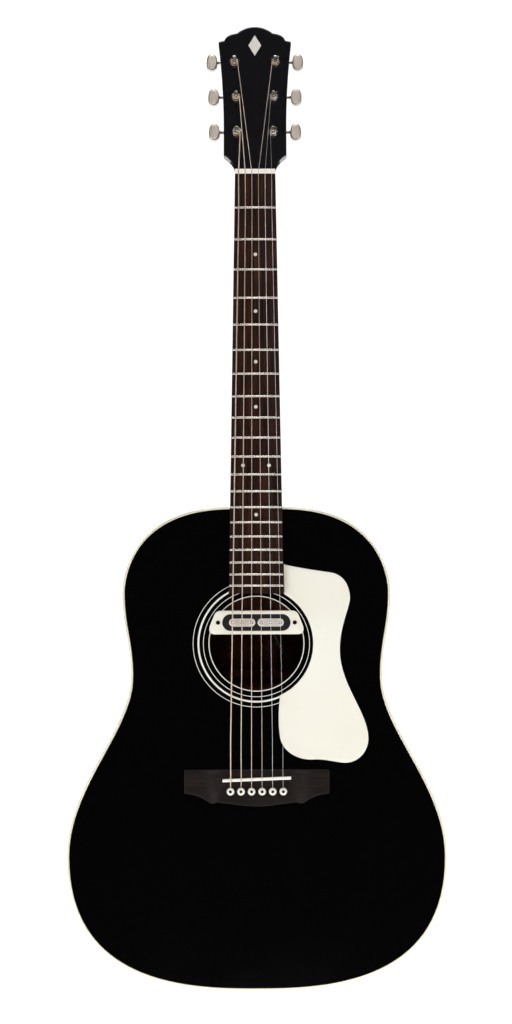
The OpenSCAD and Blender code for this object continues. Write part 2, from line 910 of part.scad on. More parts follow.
// Half of the headstock's outline: flared foot, straight flanks that widen, a shoulder and two crowns
function head_half() = let (
    low = head_w_low / 2,
    tip = head_w_tip / 2,
    flank = head_flank_w / 2,
    crest = head_crest_w / 2,
    shoulder = head_len - head_step,
    flank_top = head_len - head_crown,
    scoop = 24.4,
    scoop_c = [low + 12, -4.6],
    a0 = 180 - asin(-scoop_c[1] / scoop),
    a1 = 180 - asin((16.2 - scoop_c[1]) / scoop))
    concat(
        arc(scoop_c, scoop, a0, a1, 8),
        [[low, 18.6]],
        bend([low, head_flare], [low, lerp(head_flare, shoulder - head_shoulder, 0.5)],
            [tip, shoulder - head_shoulder], 6),
        [[tip - 0.5, shoulder - 2], [flank, shoulder]],
        bend([flank, shoulder], [flank - 2.7, flank_top - 0.8], [crest, flank_top], 6),
        bend([crest, flank_top], [crest * 0.55, head_len], [0, head_len], 8));

module head_outline() {
    half = head_half();
    last = len(half) - 1;
    polygon(concat(half, flipped([for (i = [0:last - 1]) half[i]])));
}

// Cross-section of the neck's shaft at height z
shaft_round = 2.3;
function shaft_ring(z) = let (
    share = z / joint_z,
    half = board_half(z),
    deep = lerp(neck_t_nut, neck_t_heel, share))
    [for (a = [0:12:180]) [half * sign(cos(a)) * pow(abs(cos(a)), 2 / shaft_round),
        deep * pow(sin(a), 2 / shaft_round), z]];

heel_end = depth_neck - heel_cap_t;
function heel_ring(y) = let (
    s = y / heel_end,
    half = lerp(heel_foot_w / 2, joint_w / 2 - 0.2, pow(1 - s, 1.2)),
    reach = heel_foot + heel_sweep * pow(1 - s, 5))
    [for (a = [180:-12:0]) [half * sign(cos(a)) * pow(abs(cos(a)), 0.8), y,
        joint_z + reach * pow(sin(a), 0.9)]];

// A closed solid through a row of rings with the same number of points
module loft(rings) {
    n = len(rings[0]);
    last = len(rings) - 1;
    points = [for (ring = rings, p = ring) p];
    walls = [for (i = [0:last - 1], j = [0:n - 1]) let (k = (j + 1) % n)
        each [[i * n + j, (i + 1) * n + k, i * n + k], [i * n + j, (i + 1) * n + j, (i + 1) * n + k]]];
    ends = [[for (j = [0:n - 1]) j], [for (j = [n - 1:-1:0]) last * n + j]];
    polyhedron(points, concat(walls, ends));
}

module tuner_holes(from_n, to_n, d) {
    for (n = [1:string_count])
        at_tuner(n)
            translate([0, 0, from_n])
                cylinder(d = d, h = to_n - from_n);
}

bushing_deep = 9;
plate_screw = [[0, -8], [0, 13]];
screw_d = 1.6;
screw_l = 9;

module plate_screw_spots() {
    for (n = [1:string_count], spot = plate_screw)
        at_tuner(n)
            translate([spot[0], spot[1], plate_n])
                children();
}

module neck() {
    heel_rings = [for (i = [0:9]) heel_ring(lerp(1, heel_end, pow(i / 9, 1.5)))];
    color([0.05, 0.045, 0.05])
        difference() {
            union() {
                loft([for (z = [joint_z, joint_z / 2, nut_t]) shaft_ring(z)]);
                loft(heel_rings);
                on_head()
                    translate([0, 0, back_n])
                        linear_extrude(head_t)
                            head_outline();
                tenon_space(0);
            }
            box([-nut_w, -bridge_t * 2, -nut_w], [nut_w, 0, nut_t]);
            tuner_holes(-bushing_deep - seat_gap, past, bushing_d + 2 * seat_gap);
            tuner_holes(back_n - past, 0, post_d + 1);
            plate_screw_spots()
                cylinder(d = screw_d + 2 * seat_gap, h = screw_l);
            box([-rod_d / 2 - rod_room, -past, joint_z - tenon_l - past],
                [rod_d / 2 + rod_room, rod_deep + rod_d / 2 + rod_room, -rod_start]);
            translate([button_seat_x, button_y, button_z])
                rotate([0, 90, 0])
                    cylinder(d = button_d + past, h = joint_w);
            translate([button_seat_x - button_screw_l - past / 2, button_y, button_z])
                rotate([0, 90, 0])
                    cylinder(d = button_screw_d + 2 * seat_gap, h = button_screw_l + 2 * past);
        }
}

module headstock_veneer() {
    color([0.03, 0.03, 0.035])
        difference() {
            on_head()
                translate([0, 0, -veneer_t])
                    linear_extrude(veneer_t)
                        head_outline();
            box([-nut_w, -bridge_t * 2, -nut_w], [nut_w, neck_t_nut, nut_t]);
            tuner_holes(-veneer_t - past, past, bushing_d + 2 * seat_gap);
            on_head()
                translate([0, 0, -inlay_t])
                    linear_extrude(2 * inlay_t)
                        head_ornament(0);
        }
}

module heel_cap() {
    color([0.93, 0.9, 0.8])
        slab(heel_end, heel_end + heel_cap_t)
            polygon([for (p = heel_ring(heel_end)) [p[0], p[2]]]);
}

// The rod stands out of the neck block, with the nut that tightens it on its end
module truss_rod() {
    stub = 12;
    nut_long = 9.5;
    nut_room = 0.5;
    color([0.62, 0.6, 0.56]) {
        rod_z(0, rod_deep, rod_d, block_end_z - stub, -rod_start - nut_room);
        rod_z(0, rod_deep, rod_d + 2 * rod_nut_wall, block_end_z - nut_room - nut_long, block_end_z - nut_room);
    }
}

/* Fingerboard, frets and nut */

dot_frets = [3, 5, 7, 9, 15];

module dots(d, y0, y1) {
    for (n = dot_frets)
        rod_y(0, (fret_z(n) + fret_z(n - 1)) / 2, d, y0, y1);
    for (side = [-1, 1])
        rod_y(side * octave_dot_x, (fret_z(12) + fret_z(11)) / 2, d, y0, y1);
}

module fingerboard() {
    color([0.24, 0.16, 0.14])
        difference() {
            slab(-board_t, 0)
                polygon([[-board_half(0), 0], [board_half(0), 0],
                    [board_half(board_end), board_end], [-board_half(board_end), board_end]]);
            for (n = [1:fret_count])
                box([-joint_w, -board_t - past, fret_z(n) - tang_t / 2],
                    [joint_w, tang_h - board_t, fret_z(n) + tang_t / 2]);
            dots(dot_d, -board_t - past, inlay_t - board_t);
        }
}

module frets() {
    edge = 0.3;
    half_t = tang_t / 2 - tiny;
    crown = [for (a = [0:20:180]) [-board_t - fret_h * sin(a), fret_w / 2 * cos(a)]];
    foot = tang_h - board_t - tiny;
    color([0.8, 0.79, 0.76])
        for (n = [1:fret_count])
            translate([0, 0, fret_z(n)])
                across(edge - board_half(fret_z(n)), board_half(fret_z(n)) - edge)
                    polygon(concat(crown, [[-board_t, -half_t], [foot, -half_t], [foot, half_t],
                        [-board_t, half_t]]));
}

// A plain diamond, inlaid in the middle of the headstock between the upper posts and the tip
module head_ornament(gap) {
    w = 7 - gap;
    h = 12 - gap;
    from_tip = 22;
    translate([0, head_len - from_tip])
        polygon([[-w, 0], [0, -h], [w, 0], [0, h]]);
}

module pearl_inlays() {
    color([0.93, 0.92, 0.88]) {
        dots(dot_d - 2 * tiny, -board_t, inlay_t - board_t);
        on_head()
            translate([0, 0, -inlay_t])
                linear_extrude(inlay_t)
                    head_ornament(tiny);
    }
}

// The point where a string leaves the nut, in the headstock's own frame
nut_crest = 1.4;
function to_head(p) = let (y = p[1] + head_drop, z = p[2] - nut_t)
    [p[0], y * sin(head_tilt) + z * cos(head_tilt), z * sin(head_tilt) - y * cos(head_tilt)];
function from_head(q) = [q[0], q[1] * sin(head_tilt) - q[2] * cos(head_tilt) - head_drop,
    q[1] * cos(head_tilt) + q[2] * sin(head_tilt) + nut_t];
function nut_point(n) = [nut_x(n), -nut_string_h - string_r(n), nut_crest];

// Where a string meets the winding on its post, in the headstock's own frame
coil_low = 3.2;
function coil_r(n) = waist_d / 2 + turn_room + string_r(n);
function post_point(n) = let (
    from = to_head(nut_point(n)),
    d = [post_x(n) - from[0], post_u(n) - from[1]],
    l = norm(d),
    r = coil_r(n),
    a = atan2(d[1], d[0]) + tuner_side(n) * asin(r / l),
    run = sqrt(l * l - r * r))
    [from[0] + run * cos(a), from[1] + run * sin(a), coil_low];

module nut() {
    slot_room = 0.04;
    slot_lead = 0.6;
    slot_top = 2 * nut_lip + 1;
    color([0.95, 0.94, 0.88])
        difference() {
            box([-nut_w / 2, -nut_string_h - nut_lip, 0], [nut_w / 2, 0, nut_t]);
            for (n = [1:string_count]) {
                seat = string_d[n - 1] / 2 + seat_gap;
                start = nut_point(n);
                end = from_head(post_point(n));
                d = end - start;
                box([start[0] - seat, -nut_string_h - slot_top, -past],
                    [start[0] + seat, -nut_string_h, nut_crest + tiny]);
                translate([start[0], -nut_string_h, nut_crest])
                    rotate([-atan2(d[1], norm([d[0], d[2]])) - 1, atan2(d[0], d[2]), 0])
                        box([-seat - slot_room, -slot_top, -slot_lead], [seat + slot_room, 0, nut_t + past]);
            }
        }
}

/* Strings */

// Tube along a path of points, with eight flats and frames carried from ring to ring
module tube(path, r, start) {
    sides = 8;
    last = len(path) - 1;
    heading = [for (i = [0:last]) unit(path[min(i + 1, last)] - path[max(i - 1, 0)])];
    frames = [for (i = 0, e = unit(start - (start * heading[0]) * heading[0]); i <= last;
        i = i + 1, e = i <= last ? unit(e - (e * heading[i]) * heading[i]) : e) e];
    loft([for (i = [0:last]) let (e = frames[i], f = cross(heading[i], e))
        [for (j = [0:sides - 1]) let (a = 360 * (j + 0.5) / sides) path[i] + r * (e * cos(a) + f * sin(a))]]);
}

function turns_on_post(n) = n <= 2 ? 2.75 : 1.75;

// A string's path: ball, pin hole, saddle, nut, and the winding round its post
function string_path(n) = let (
    r = string_r(n),
    seat_z = pin_z + string_seat,
    ball_z = ball_place()[1],
    under = top_t + plate_t,
    crest_z = saddle_z + saddle_x(n) * tan(saddle_slant),
    crest = [saddle_x(n), -saddle_string_h - r, crest_z],
    behind = [saddle_x(n), -saddle_string_h - r, crest_z - saddle_crest - 0.05],
    mouth = [pin_x(n), -bridge_t - 0.3, seat_z],
    rise = bend(mouth + [0, 1.2, 0], mouth, lerp(mouth, behind, 0.14), 4),
    nut_pt = nut_point(n),
    post_pt = post_point(n),
    side = tuner_side(n),
    r_coil = coil_r(n),
    a0 = atan2(post_pt[1] - post_u(n), post_pt[0] - post_x(n)),
    pitch = 2 * r + 0.12,
    steps = round(turns_on_post(n) * 14),
    coil = [for (i = [0:steps]) let (t = i / steps * turns_on_post(n), a = a0 - side * 360 * t)
        from_head([post_x(n) + r_coil * cos(a), post_u(n) + r_coil * sin(a), coil_low + pitch * t])])
    concat(
        [[pin_x(n), ball_place()[0], ball_z - 0.8], [pin_x(n), under + 1.6, seat_z + 0.9],
            [pin_x(n), under + 0.8, seat_z + 0.15], [pin_x(n), under + 0.1, seat_z]],
        rise, [behind, crest, crest + [0, 0, 0.6], nut_pt - [0, 0, nut_crest + 0.6], nut_pt - [0, 0, 0.12],
            lerp(nut_pt, from_head(post_pt), 0.006)], coil);

function ball_place() = [top_t + plate_t + ball_d / 2 + 0.1,
    pin_z + pin_hole_d / 2 + ball_d / 2 + 0.3];

module string_solid(n) {
    wound = n >= 3;
    place = ball_place();
    color(wound ? [0.78, 0.6, 0.42] : [0.8, 0.8, 0.8])
        tube(string_path(n), string_r(n), [1, 0, 0]);
    color([0.8, 0.66, 0.3])
        translate([pin_x(n) - ball_d / 2, place[0], place[1]])
            rotate([0, 90, 0])
                cylinder(d = ball_d, h = ball_d);
}

/* Tuners */

module tuner_bushings() {
    flange_t = 1.2;
    color([0.8, 0.79, 0.76])
        for (n = [1:string_count])
            at_tuner(n)
                difference() {
                    union() {
                        translate([0, 0, -bushing_deep])
                            cylinder(d = bushing_d, h = bushing_deep + tiny);
                        cylinder(d = bushing_flange_d, h = flange_t);
                    }
                    translate([0, 0, -bushing_deep - past])
                        cylinder(d = post_d + 2 * running_gap, h = bushing_deep + flange_t + 2 * past);
                }
}

lug_t = 1.6;
lug_w = 6;
lug_x = worm_len / 2 + turn_room;
lug_deep = 3;

module tuner_plates() {
    w = 8;
    cut = 2;
    low = plate_screw[0][1] - 2.5;
    high = plate_screw[1][1] + 2.5;
    color([0.74, 0.73, 0.7])
        for (n = [1:string_count])
            at_tuner(n)
                to_side(n)
                    difference() {
                        union() {
                            translate([0, 0, plate_n])
                                linear_extrude(tuner_plate_t)
                                    polygon([[-w + cut, low], [w - cut, low], [w, low + cut], [w, high - cut],
                                        [w - cut, high], [cut - w, high], [-w, high - cut], [-w, low + cut]]);
                            for (x = [-lug_x - lug_t, lug_x])
                                box([x, worm_axis - lug_w / 2, shaft_n - lug_deep],
                                    [x + lug_t, worm_axis + lug_w / 2, plate_n + tiny]);
                        }
                        translate([0, 0, plate_n - past])
                            cylinder(d = post_d + 2 * running_gap, h = 3 * past);
                        for (spot = plate_screw)
                            translate([spot[0], spot[1], plate_n - past])
                                cylinder(d = screw_d + 2 * seat_gap, h = 3 * past);
                        translate([-2 * lug_x, worm_axis, shaft_n])
                            rotate([0, 90, 0])
                                cylinder(d = shaft_d + 2 * running_gap, h = 4 * lug_x);
                    }
}

module tuner_screws() {
    color([0.72, 0.71, 0.68])
        plate_screw_spots() {
            translate([0, 0, -tiny])
                cylinder(d = screw_d, h = screw_l - past);
            translate([0, 0, -1.1])
                cylinder(d1 = 2.2, d2 = 3.2, h = 1.1);
        }
}

square_w = 3.2;
gear_screw_d = 1.8;

// A post: square foot for the gear, round shaft, waisted head with its string hole, and the
// end of the string that is caught in the hole
module post_solid(n) {
    r = string_r(n);
    w = waist_d / 2;
    profile = [[0, gear_n + 0.2], [post_r, gear_n + 0.2], [post_r, 1.8], [w, 2.3], [w, 8.5], [post_r, 9.4],
        [post_r, post_h - 0.5], [post_r - 0.6, post_h], [0, post_h]];
    tail_turn = tuner_side(n) * 40;
    color([0.82, 0.81, 0.78])
        at_tuner(n)
            difference() {
                union() {
                    rotate_extrude()
                        polygon(profile);
                    translate([-square_w / 2, -square_w / 2, gear_n - gear_t])
                        cube([square_w, square_w, gear_t + 1]);
                }
                translate([0, 0, post_hole_h])
                    rotate([0, 90, tail_turn])
                        cylinder(d = 1.7, h = 2 * post_d, center = true);
                translate([0, 0, gear_n - gear_t - past])
                    cylinder(d = gear_screw_d + 2 * seat_gap, h = 5);
            }
    color(n >= 3 ? [0.78, 0.6, 0.42] : [0.8, 0.8, 0.8])
        at_tuner(n)
            translate([0, 0, post_hole_h])
                rotate([0, 90, tail_turn])
                    translate([0, 0, -w - 0.2])
                        cylinder(r = r, h = 2 * w + 2.4);
}

// A tooth's outline, from its root to its tip, on a gear of gear_teeth
module gear_outline() {
    root_r = gear_pitch_r - tooth_root;
    step = 360 / gear_teeth;
    root_half = step * 0.24;
    tip_half = step * 0.07;
    tooth = [[root_r, -root_half], [gear_tip_r, -tip_half], [gear_tip_r, tip_half], [root_r, root_half]];
    polygon([for (i = [0:gear_teeth - 1]) let (a = 90 + i * step)
        each [for (c = tooth) c[0] * [cos(a + c[1]), sin(a + c[1])]]]);
}

module gear_solid(n) {
    color([0.76, 0.62, 0.32])
        at_tuner(n) {
            difference() {
                translate([0, 0, gear_n - gear_t])
                    linear_extrude(gear_t)
                        gear_outline();
                translate([-square_w / 2 - seat_gap, -square_w / 2 - seat_gap, gear_n - gear_t - past])
                    cube([square_w + 2 * seat_gap, square_w + 2 * seat_gap, gear_t + 2 * past]);
            }
            translate([0, 0, gear_n - gear_t - seat_gap - 1.2])
                cylinder(d = 5, h = 1.2);
            translate([0, 0, gear_n - gear_t - seat_gap - tiny])
                cylinder(d = gear_screw_d, h = 3.5);
        }
}

// Section of the worm across its axis: one thread on a round root
module worm_section() {
    root_half = 68;
    tip_half = 24;
    tip = worm_d / 2;
    polygon(concat(
        [for (a = [-tip_half, 0, tip_half]) tip * [cos(a), sin(a)]],
        [for (i = [0:8]) let (a = lerp(root_half, 360 - root_half, i / 8)) worm_root_r * [cos(a), sin(a)]]));
}

// Outline of an oval knob, fuller than an ellipse
module knob_oval(w, l) {
    fullness = 0.86;
    polygon([for (a = [0:10:350]) [w / 2 * sign(cos(a)) * pow(abs(cos(a)), fullness),
        l / 2 * sign(sin(a)) * pow(abs(sin(a)), fullness)]]);
}

module knob_solid(n) {
    collar_d = 5;
    rim = 1.2;
    inner_x = knob_out - knob_w / 2;
    far_x = -lug_x - lug_t - 0.8;
    outer_x = lug_x + lug_t + turn_room;
    side = tuner_side(n);
    color([0.76, 0.74, 0.7])
        at_tuner(n)
            translate([0, worm_axis, shaft_n]) {
                rotate([0, 90, 0])
                    rotate(-90)
                        linear_extrude(worm_len, center = true, twist = 360 * worm_turns,
                            slices = 12 * worm_turns, $fn = 12)
                            rotate(180 * worm_turns + 180)
                                worm_section();
                to_side(n) {
                    for (x = [[far_x, -worm_len / 2 + tiny], [worm_len / 2 - tiny, inner_x + 1]])
                        translate([x[0], 0, 0])
                            rotate([0, 90, 0])
                                cylinder(d = shaft_d, h = x[1] - x[0]);
                    translate([outer_x, 0, 0])
                        rotate([0, 90, 0])
                            cylinder(d = collar_d, h = 1.5);
                    translate([inner_x - 1.6, 0, 0])
                        rotate([0, 90, 0])
                            cylinder(d1 = 3.6, d2 = collar_d, h = 2.6);
                    translate([knob_out, 0, -knob_t / 2])
                        linear_extrude(knob_t)
                            knob_oval(knob_w - 2 * rim, knob_l - 2 * rim);
                    translate([knob_out, 0, -knob_t / 2 + rim])
                        linear_extrude(knob_t - 2 * rim)
                            knob_oval(knob_w, knob_l);
                }
            }
}

/* Pickup */

// Half of the cover's outline: a straight top edge and ends that widen towards the bridge
module cover_outline() {
    w = pickup_w / 2;
    l = pickup_l / 2;
    right = concat(
        bend([w - 13.5, l], [w - 8, l], [w - 6, l - 4.5], 5),
        bend([w - 1.4, -l * 0.25], [w + 1.6, -l], [w - 7.5, -l], 8));
    translate([0, pickup_z])
        polygon(concat(right, flipped(right)));
}

module stadium(w, l, x = 0) {
    for (side = [-1, 1])
        translate([x + side * (w - l) / 2, pickup_z])
            circle(d = l);
    translate([x, pickup_z])
        square([w - l, l], center = true);
}

clamp_x = 41.4;
clamp_screw_d = 2.6;
coil_h = 1.2;
core_top = -pickup_h + 0.6;

module pickup_cover() {
    color([0.94, 0.92, 0.85])
        difference() {
            slab(-pickup_h, 0)
                cover_outline();
            slab(-pickup_h - past, past)
                stadium(core_w + 2 * seat_gap, core_l + 2 * seat_gap);
            for (side = [-1, 1])
                rod_y(side * clamp_x, pickup_z, clamp_screw_d + 0.2, -pickup_h - past, past);
        }
}

coil_x = coil_w / 2 + 1.2;
function pole_x(i) = (i < 3 ? -1 : 1) * coil_x + ((i % 3) - 1) * (coil_w * 0.36);

module pole_holes(d, y0, y1) {
    for (i = [0:string_count - 1])
        rod_y(pole_x(i), pickup_z, d, y0, y1);
}

pole_shank_d = 2.6;
pole_deep = 9;

module pickup_core() {
    color([0.06, 0.06, 0.06])
        difference() {
            slab(core_top, core_deep)
                stadium(core_w, core_l);
            pole_holes(pole_shank_d + 2 * seat_gap, core_top - past, pole_deep);
        }
}

module pickup_coils() {
    color([0.8, 0.77, 0.68])
        difference() {
            slab(core_top - coil_h, core_top)
                for (side = [-1, 1])
                    stadium(coil_w, coil_l, side * coil_x);
            pole_holes(pole_shank_d + 2 * seat_gap, core_top - coil_h - past, core_top + past);
        }
}

module pickup_poles() {
    head_h = 0.7;
    color([0.8, 0.79, 0.76])
        difference() {
            union() {
                pole_holes(pole_d, core_top - coil_h - head_h, core_top - coil_h);
                pole_holes(pole_shank_d, core_top - coil_h - tiny, pole_deep - past);
            }
            for (i = [0:string_count - 1])
                translate([pole_x(i), core_top - coil_h - head_h, pickup_z])
                    rotate([0, 35 * i, 0])
                        cube([pole_d + past, 0.7, 0.6], center = true);
        }
}

module pickup_clamps() {
    bar_t = 2.4;
    bar_w = 9;
    bar_l = 18;
    bar_x = clamp_x + 5;
    clamp_head_d = 4.4;
    clamp_head_t = 1;
    hole_clear_d = clamp_screw_d + 2 * seat_gap;
    color([0.75, 0.74, 0.71])
        for (side = [-1, 1]) {
            difference() {
                box([side * bar_x - bar_l / 2, top_t, pickup_z - bar_w / 2],
                    [side * bar_x + bar_l / 2, top_t + bar_t, pickup_z + bar_w / 2]);
                rod_y(side * clamp_x, pickup_z, hole_clear_d, top_t - past, top_t + bar_t + past);
            }
            rod_y(side * clamp_x, pickup_z, clamp_screw_d, -pickup_h - tiny, top_t + bar_t + 2);
            rod_y(side * clamp_x, pickup_z, clamp_head_d, -pickup_h - clamp_head_t, -pickup_h);
        }
}

// The lead runs from the core down the treble side of the back to the output jack
lead_route = [
    [20, 12, -494], [20, 20, -499], [24, 32, -508], [32, 46, -520], [44, 60, -536], [58, 72, -556],
    [74, 82, -580], [90, 90, -608], [106, 95, -640], [118, 98, -676], [124, 100, -712], [122, 101, -748],
    [112, 100, -782], [94, 96, -810], [70, 88, -828], [44, 78, -836], [20, 68, -840], [4, 62, -842]
];

module pickup_lead() {
    color([0.08, 0.08, 0.08])
        tube(lead_route, lead_d / 2, [1, 0, 0]);
}

top();
back();
side_bass();
side_treble();
binding();
linings();
neck_block();
end_block();
top_braces();
bridge_plate();
back_braces();
back_strip();
rosette();
pickguard();
bridge();
saddle();
bridge_pins();
output_jack();
strap_button();
neck();
headstock_veneer();
truss_rod();
fingerboard();
frets();
pearl_inlays();
nut();
heel_cap();
pickup_cover();
pickup_core();
pickup_coils();
pickup_poles();
pickup_clamps();
pickup_lead();
tuner_bushings();
tuner_plates();
tuner_screws();
string_solid(1);  // string_1
string_solid(2);  // string_2
string_solid(3);  // string_3
string_solid(4);  // string_4
string_solid(5);  // string_5
string_solid(6);  // string_6
post_solid(1);  // post_1
post_solid(2);  // post_2
post_solid(3);  // post_3
post_solid(4);  // post_4
post_solid(5);  // post_5
post_solid(6);  // post_6
gear_solid(1);  // gear_1
gear_solid(2);  // gear_2
gear_solid(3);  // gear_3
gear_solid(4);  // gear_4
gear_solid(5);  // gear_5
gear_solid(6);  // gear_6
knob_solid(1);  // knob_1
knob_solid(2);  // knob_2
knob_solid(3);  // knob_3
knob_solid(4);  // knob_4
knob_solid(5);  // knob_5
knob_solid(6);  // knob_6
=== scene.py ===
import math

import bpy
import numpy as np
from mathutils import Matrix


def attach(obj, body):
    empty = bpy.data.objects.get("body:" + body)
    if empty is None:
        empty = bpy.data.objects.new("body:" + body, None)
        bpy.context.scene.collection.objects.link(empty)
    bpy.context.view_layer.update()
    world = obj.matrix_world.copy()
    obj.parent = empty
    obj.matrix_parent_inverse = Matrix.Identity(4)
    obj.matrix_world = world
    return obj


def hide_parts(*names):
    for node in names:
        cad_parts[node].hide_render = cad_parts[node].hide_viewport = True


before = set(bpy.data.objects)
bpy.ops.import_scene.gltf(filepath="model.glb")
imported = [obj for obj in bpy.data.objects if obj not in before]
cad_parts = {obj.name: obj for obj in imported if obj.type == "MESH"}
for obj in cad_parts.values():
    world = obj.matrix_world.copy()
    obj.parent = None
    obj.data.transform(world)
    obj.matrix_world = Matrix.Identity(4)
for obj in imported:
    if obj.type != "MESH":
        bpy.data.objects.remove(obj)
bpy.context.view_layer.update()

# ------------------------------------------------------------------ Sides
# Two strips of mahogany, bent over a hot iron and joined at the tail. Outside they are sprayed
# with black nitrocellulose lacquer, rubbed down and polished; inside they are left bare.

SCALE = 648.0
FRETS_TO_BODY = 14
BODY_LEN = 522.0
DEPTH_NECK, DEPTH_TAIL = 100.0, 122.0
ARCH_R = 4600.0
SIDE_T, BINDING_H = 2.2, 6.0
# Half width of the upper bout, the waist and the lower bout, each with its distance below the joint
# of neck and body
UPPER = (144.5, 93.0)
WAIST = (135.5, 183.5)
LOWER = (205.2, 378.0)
NECK_HALF = 28.0


def fret_at(number):
    """Height of a fret: the open string is shortened by a twelfth root of two for each fret."""
    return -SCALE * (1 - 2.0 ** (-np.asarray(number, float) / 12))


joint_z = float(fret_at(FRETS_TO_BODY))
tail_z = joint_z - BODY_LEN


def curve(handles, steps):
    """Cubic curve through its end handles: they are weighted by (1-t)^3, 3(1-t)^2 t, 3(1-t) t^2 and t^3."""
    h = np.asarray(handles, float)
    t = np.linspace(0, 1, steps + 1)[:, None]
    return (1 - t) ** 3 * h[0] + 3 * (1 - t) ** 2 * t * h[1] + 3 * (1 - t) * t * t * h[2] + t ** 3 * h[3]


def mix(a, b, share):
    """The value that lies that share of the way from a to b."""
    return a + (b - a) * share


def half_line(inset, steps=36):
    """Treble half of the body's outline, from the neck to the tail: a flat under the neck and four
    curves joined end to end, whose handles lie at set shares of the way between the widest and the
    narrowest places. Each point is then moved inwards along its normal by inset."""
    (ux, ud), (wx, wd), (lx, ld) = UPPER, WAIST, LOWER
    uz, wz, lz = joint_z - ud, joint_z - wd, joint_z - ld
    pieces = [
        np.array([[x, joint_z] for x in (0, NECK_HALF / 3, NECK_HALF * 2 / 3)]),
        curve([(NECK_HALF, joint_z), (mix(NECK_HALF, ux, 0.88), joint_z), (ux, mix(uz, joint_z, 0.25)),
               (ux, uz)], steps)[:-1],
        curve([(ux, uz), (ux, mix(uz, wz, 0.39)), (wx, mix(wz, uz, 0.42)), (wx, wz)], steps)[:-1],
        curve([(wx, wz), (wx, mix(wz, lz, 0.29)), (lx, mix(lz, wz, 0.4)), (lx, lz)], steps)[:-1],
        curve([(lx, lz), (lx, tail_z), (lx * 0.31, tail_z), (0, tail_z)], steps),
    ]
    line = np.vstack(pieces)
    slope = np.gradient(line, axis=0)
    slope[0], slope[-1] = (1, 0), (-1, 0)
    slope /= np.linalg.norm(slope, axis=1)[:, None]
    return line + inset * np.stack([slope[:, 1], -slope[:, 0]], 1)


def mirrored(line):
    """A half line closed by its mirror image, without its two ends twice."""
    return np.vstack([line, line[-2:0:-1] * (-1, 1)])


def back_at(x, z, gap=0.0):
    """Depth of the back: an arch of radius ARCH_R across, on a straight taper from tail to neck,
    moved forward by gap."""
    pitch = math.atan((DEPTH_TAIL - DEPTH_NECK) / BODY_LEN)
    fall = ARCH_R - np.sqrt(ARCH_R ** 2 - x * x)
    return DEPTH_TAIL - (gap + fall) / math.cos(pitch) - (z - tail_z) * math.tan(pitch)


def solid(name, rings, finish, body, slot, looped=False, skin=None, along=None, sharp=32):
    """Closed surface through rings of points, in millimetres: rows of quads join each ring to the
    next. The ends are closed with a face each, or joined to one another when looped. An array with
    four axes holds several such shells. skin gives each row's material, and along a number for
    each ring that the material can read."""
    rings = np.asarray(rings, float)
    if rings.ndim == 3:
        rings = rings[None]
    shells, rows, cols, _ = rings.shape
    at = np.arange(shells * rows * cols).reshape(shells, rows, cols)
    low = at if looped else at[:, :-1]
    high = np.roll(at, -1, 1) if looped else at[:, 1:]
    quads = np.stack([low, np.roll(low, -1, 2), np.roll(high, -1, 2), high], -1).reshape(-1, 4)
    corners, sizes = [quads.ravel()], [np.full(len(quads), 4)]
    if not looped:
        ends = np.concatenate([at[:, 0, ::-1], at[:, -1]])
        corners.append(ends.ravel())
        sizes.append(np.full(len(ends), cols))
    corners, sizes = np.concatenate(corners), np.concatenate(sizes)
    mesh = bpy.data.meshes.new(name)
    mesh.vertices.add(rings.size // 3)
    mesh.vertices.foreach_set("co", (rings * 0.001).astype(np.float32).ravel())
    mesh.loops.add(len(corners))
    mesh.loops.foreach_set("vertex_index", corners.astype(np.int32))
    mesh.polygons.add(len(sizes))
    mesh.polygons.foreach_set("loop_start", np.concatenate([[0], np.cumsum(sizes)[:-1]]).astype(np.int32))
    mesh.update(calc_edges=True)
    if skin is not None:
        row_skin = np.tile(np.repeat(np.asarray(skin), cols), shells)
        ends_skin = np.concatenate([np.full(shells, skin[0]), np.full(shells, skin[-1])])
        row_skin = row_skin if looped else np.concatenate([row_skin, ends_skin])
        mesh.polygons.foreach_set("material_index", row_skin.astype(np.int32))
    if along is not None:
        mesh.attributes.new("along", "FLOAT", "POINT").data.foreach_set(
            "value", np.tile(np.repeat(np.asarray(along), cols), shells).astype(np.float32))
    mesh.calc_loop_triangles()
    tris = np.zeros(len(mesh.loop_triangles) * 3, np.int32)
    mesh.loop_triangles.foreach_get("vertices", tris)
    a, b, c = rings.reshape(-1, 3)[tris.reshape(-1, 3)].transpose(1, 0, 2)
    if np.einsum("ij,ij->", a, np.cross(b, c)) < 0:
        mesh.flip_normals()
    mesh.shade_smooth()
    mesh.set_sharp_from_angle(angle=math.radians(sharp))
    for material in finish if isinstance(finish, (list, tuple)) else [finish]:
        mesh.materials.append(material)
    obj = bpy.data.objects.new(name, mesh)
    bpy.context.scene.collection.objects.link(obj)
    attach(obj, body)
    return obj


def paint(code):
    """A colour from its sRGB hex code, turned to linear light."""
    c = np.array([int(code[i:i + 2], 16) for i in (1, 3, 5)]) / 255
    return (*np.where(c <= 0.04045, c / 12.92, ((c + 0.055) / 1.055) ** 2.4), 1.0)


def add(tree, kind, settings=None, inputs=None):
    """Adds one node: settings are its own properties, or the stops of its colour ramp, and inputs
    are its sockets, each with a value or with the output it is linked from."""
    made = tree.nodes.new("ShaderNode" + kind)
    for key, value in (settings or {}).items():
        if key == "stops":
            ramp = made.color_ramp.elements
            while len(ramp) < len(value):
                ramp.new(0.5)
            for stop, (place, code) in zip(ramp, value):
                stop.position, stop.color = place, paint(code)
        else:
            setattr(made, key, value)
    for key, value in (inputs or {}).items():
        if isinstance(value, bpy.types.NodeSocket):
            tree.links.new(value, made.inputs[key])
        else:
            made.inputs[key].default_value = value
    return made


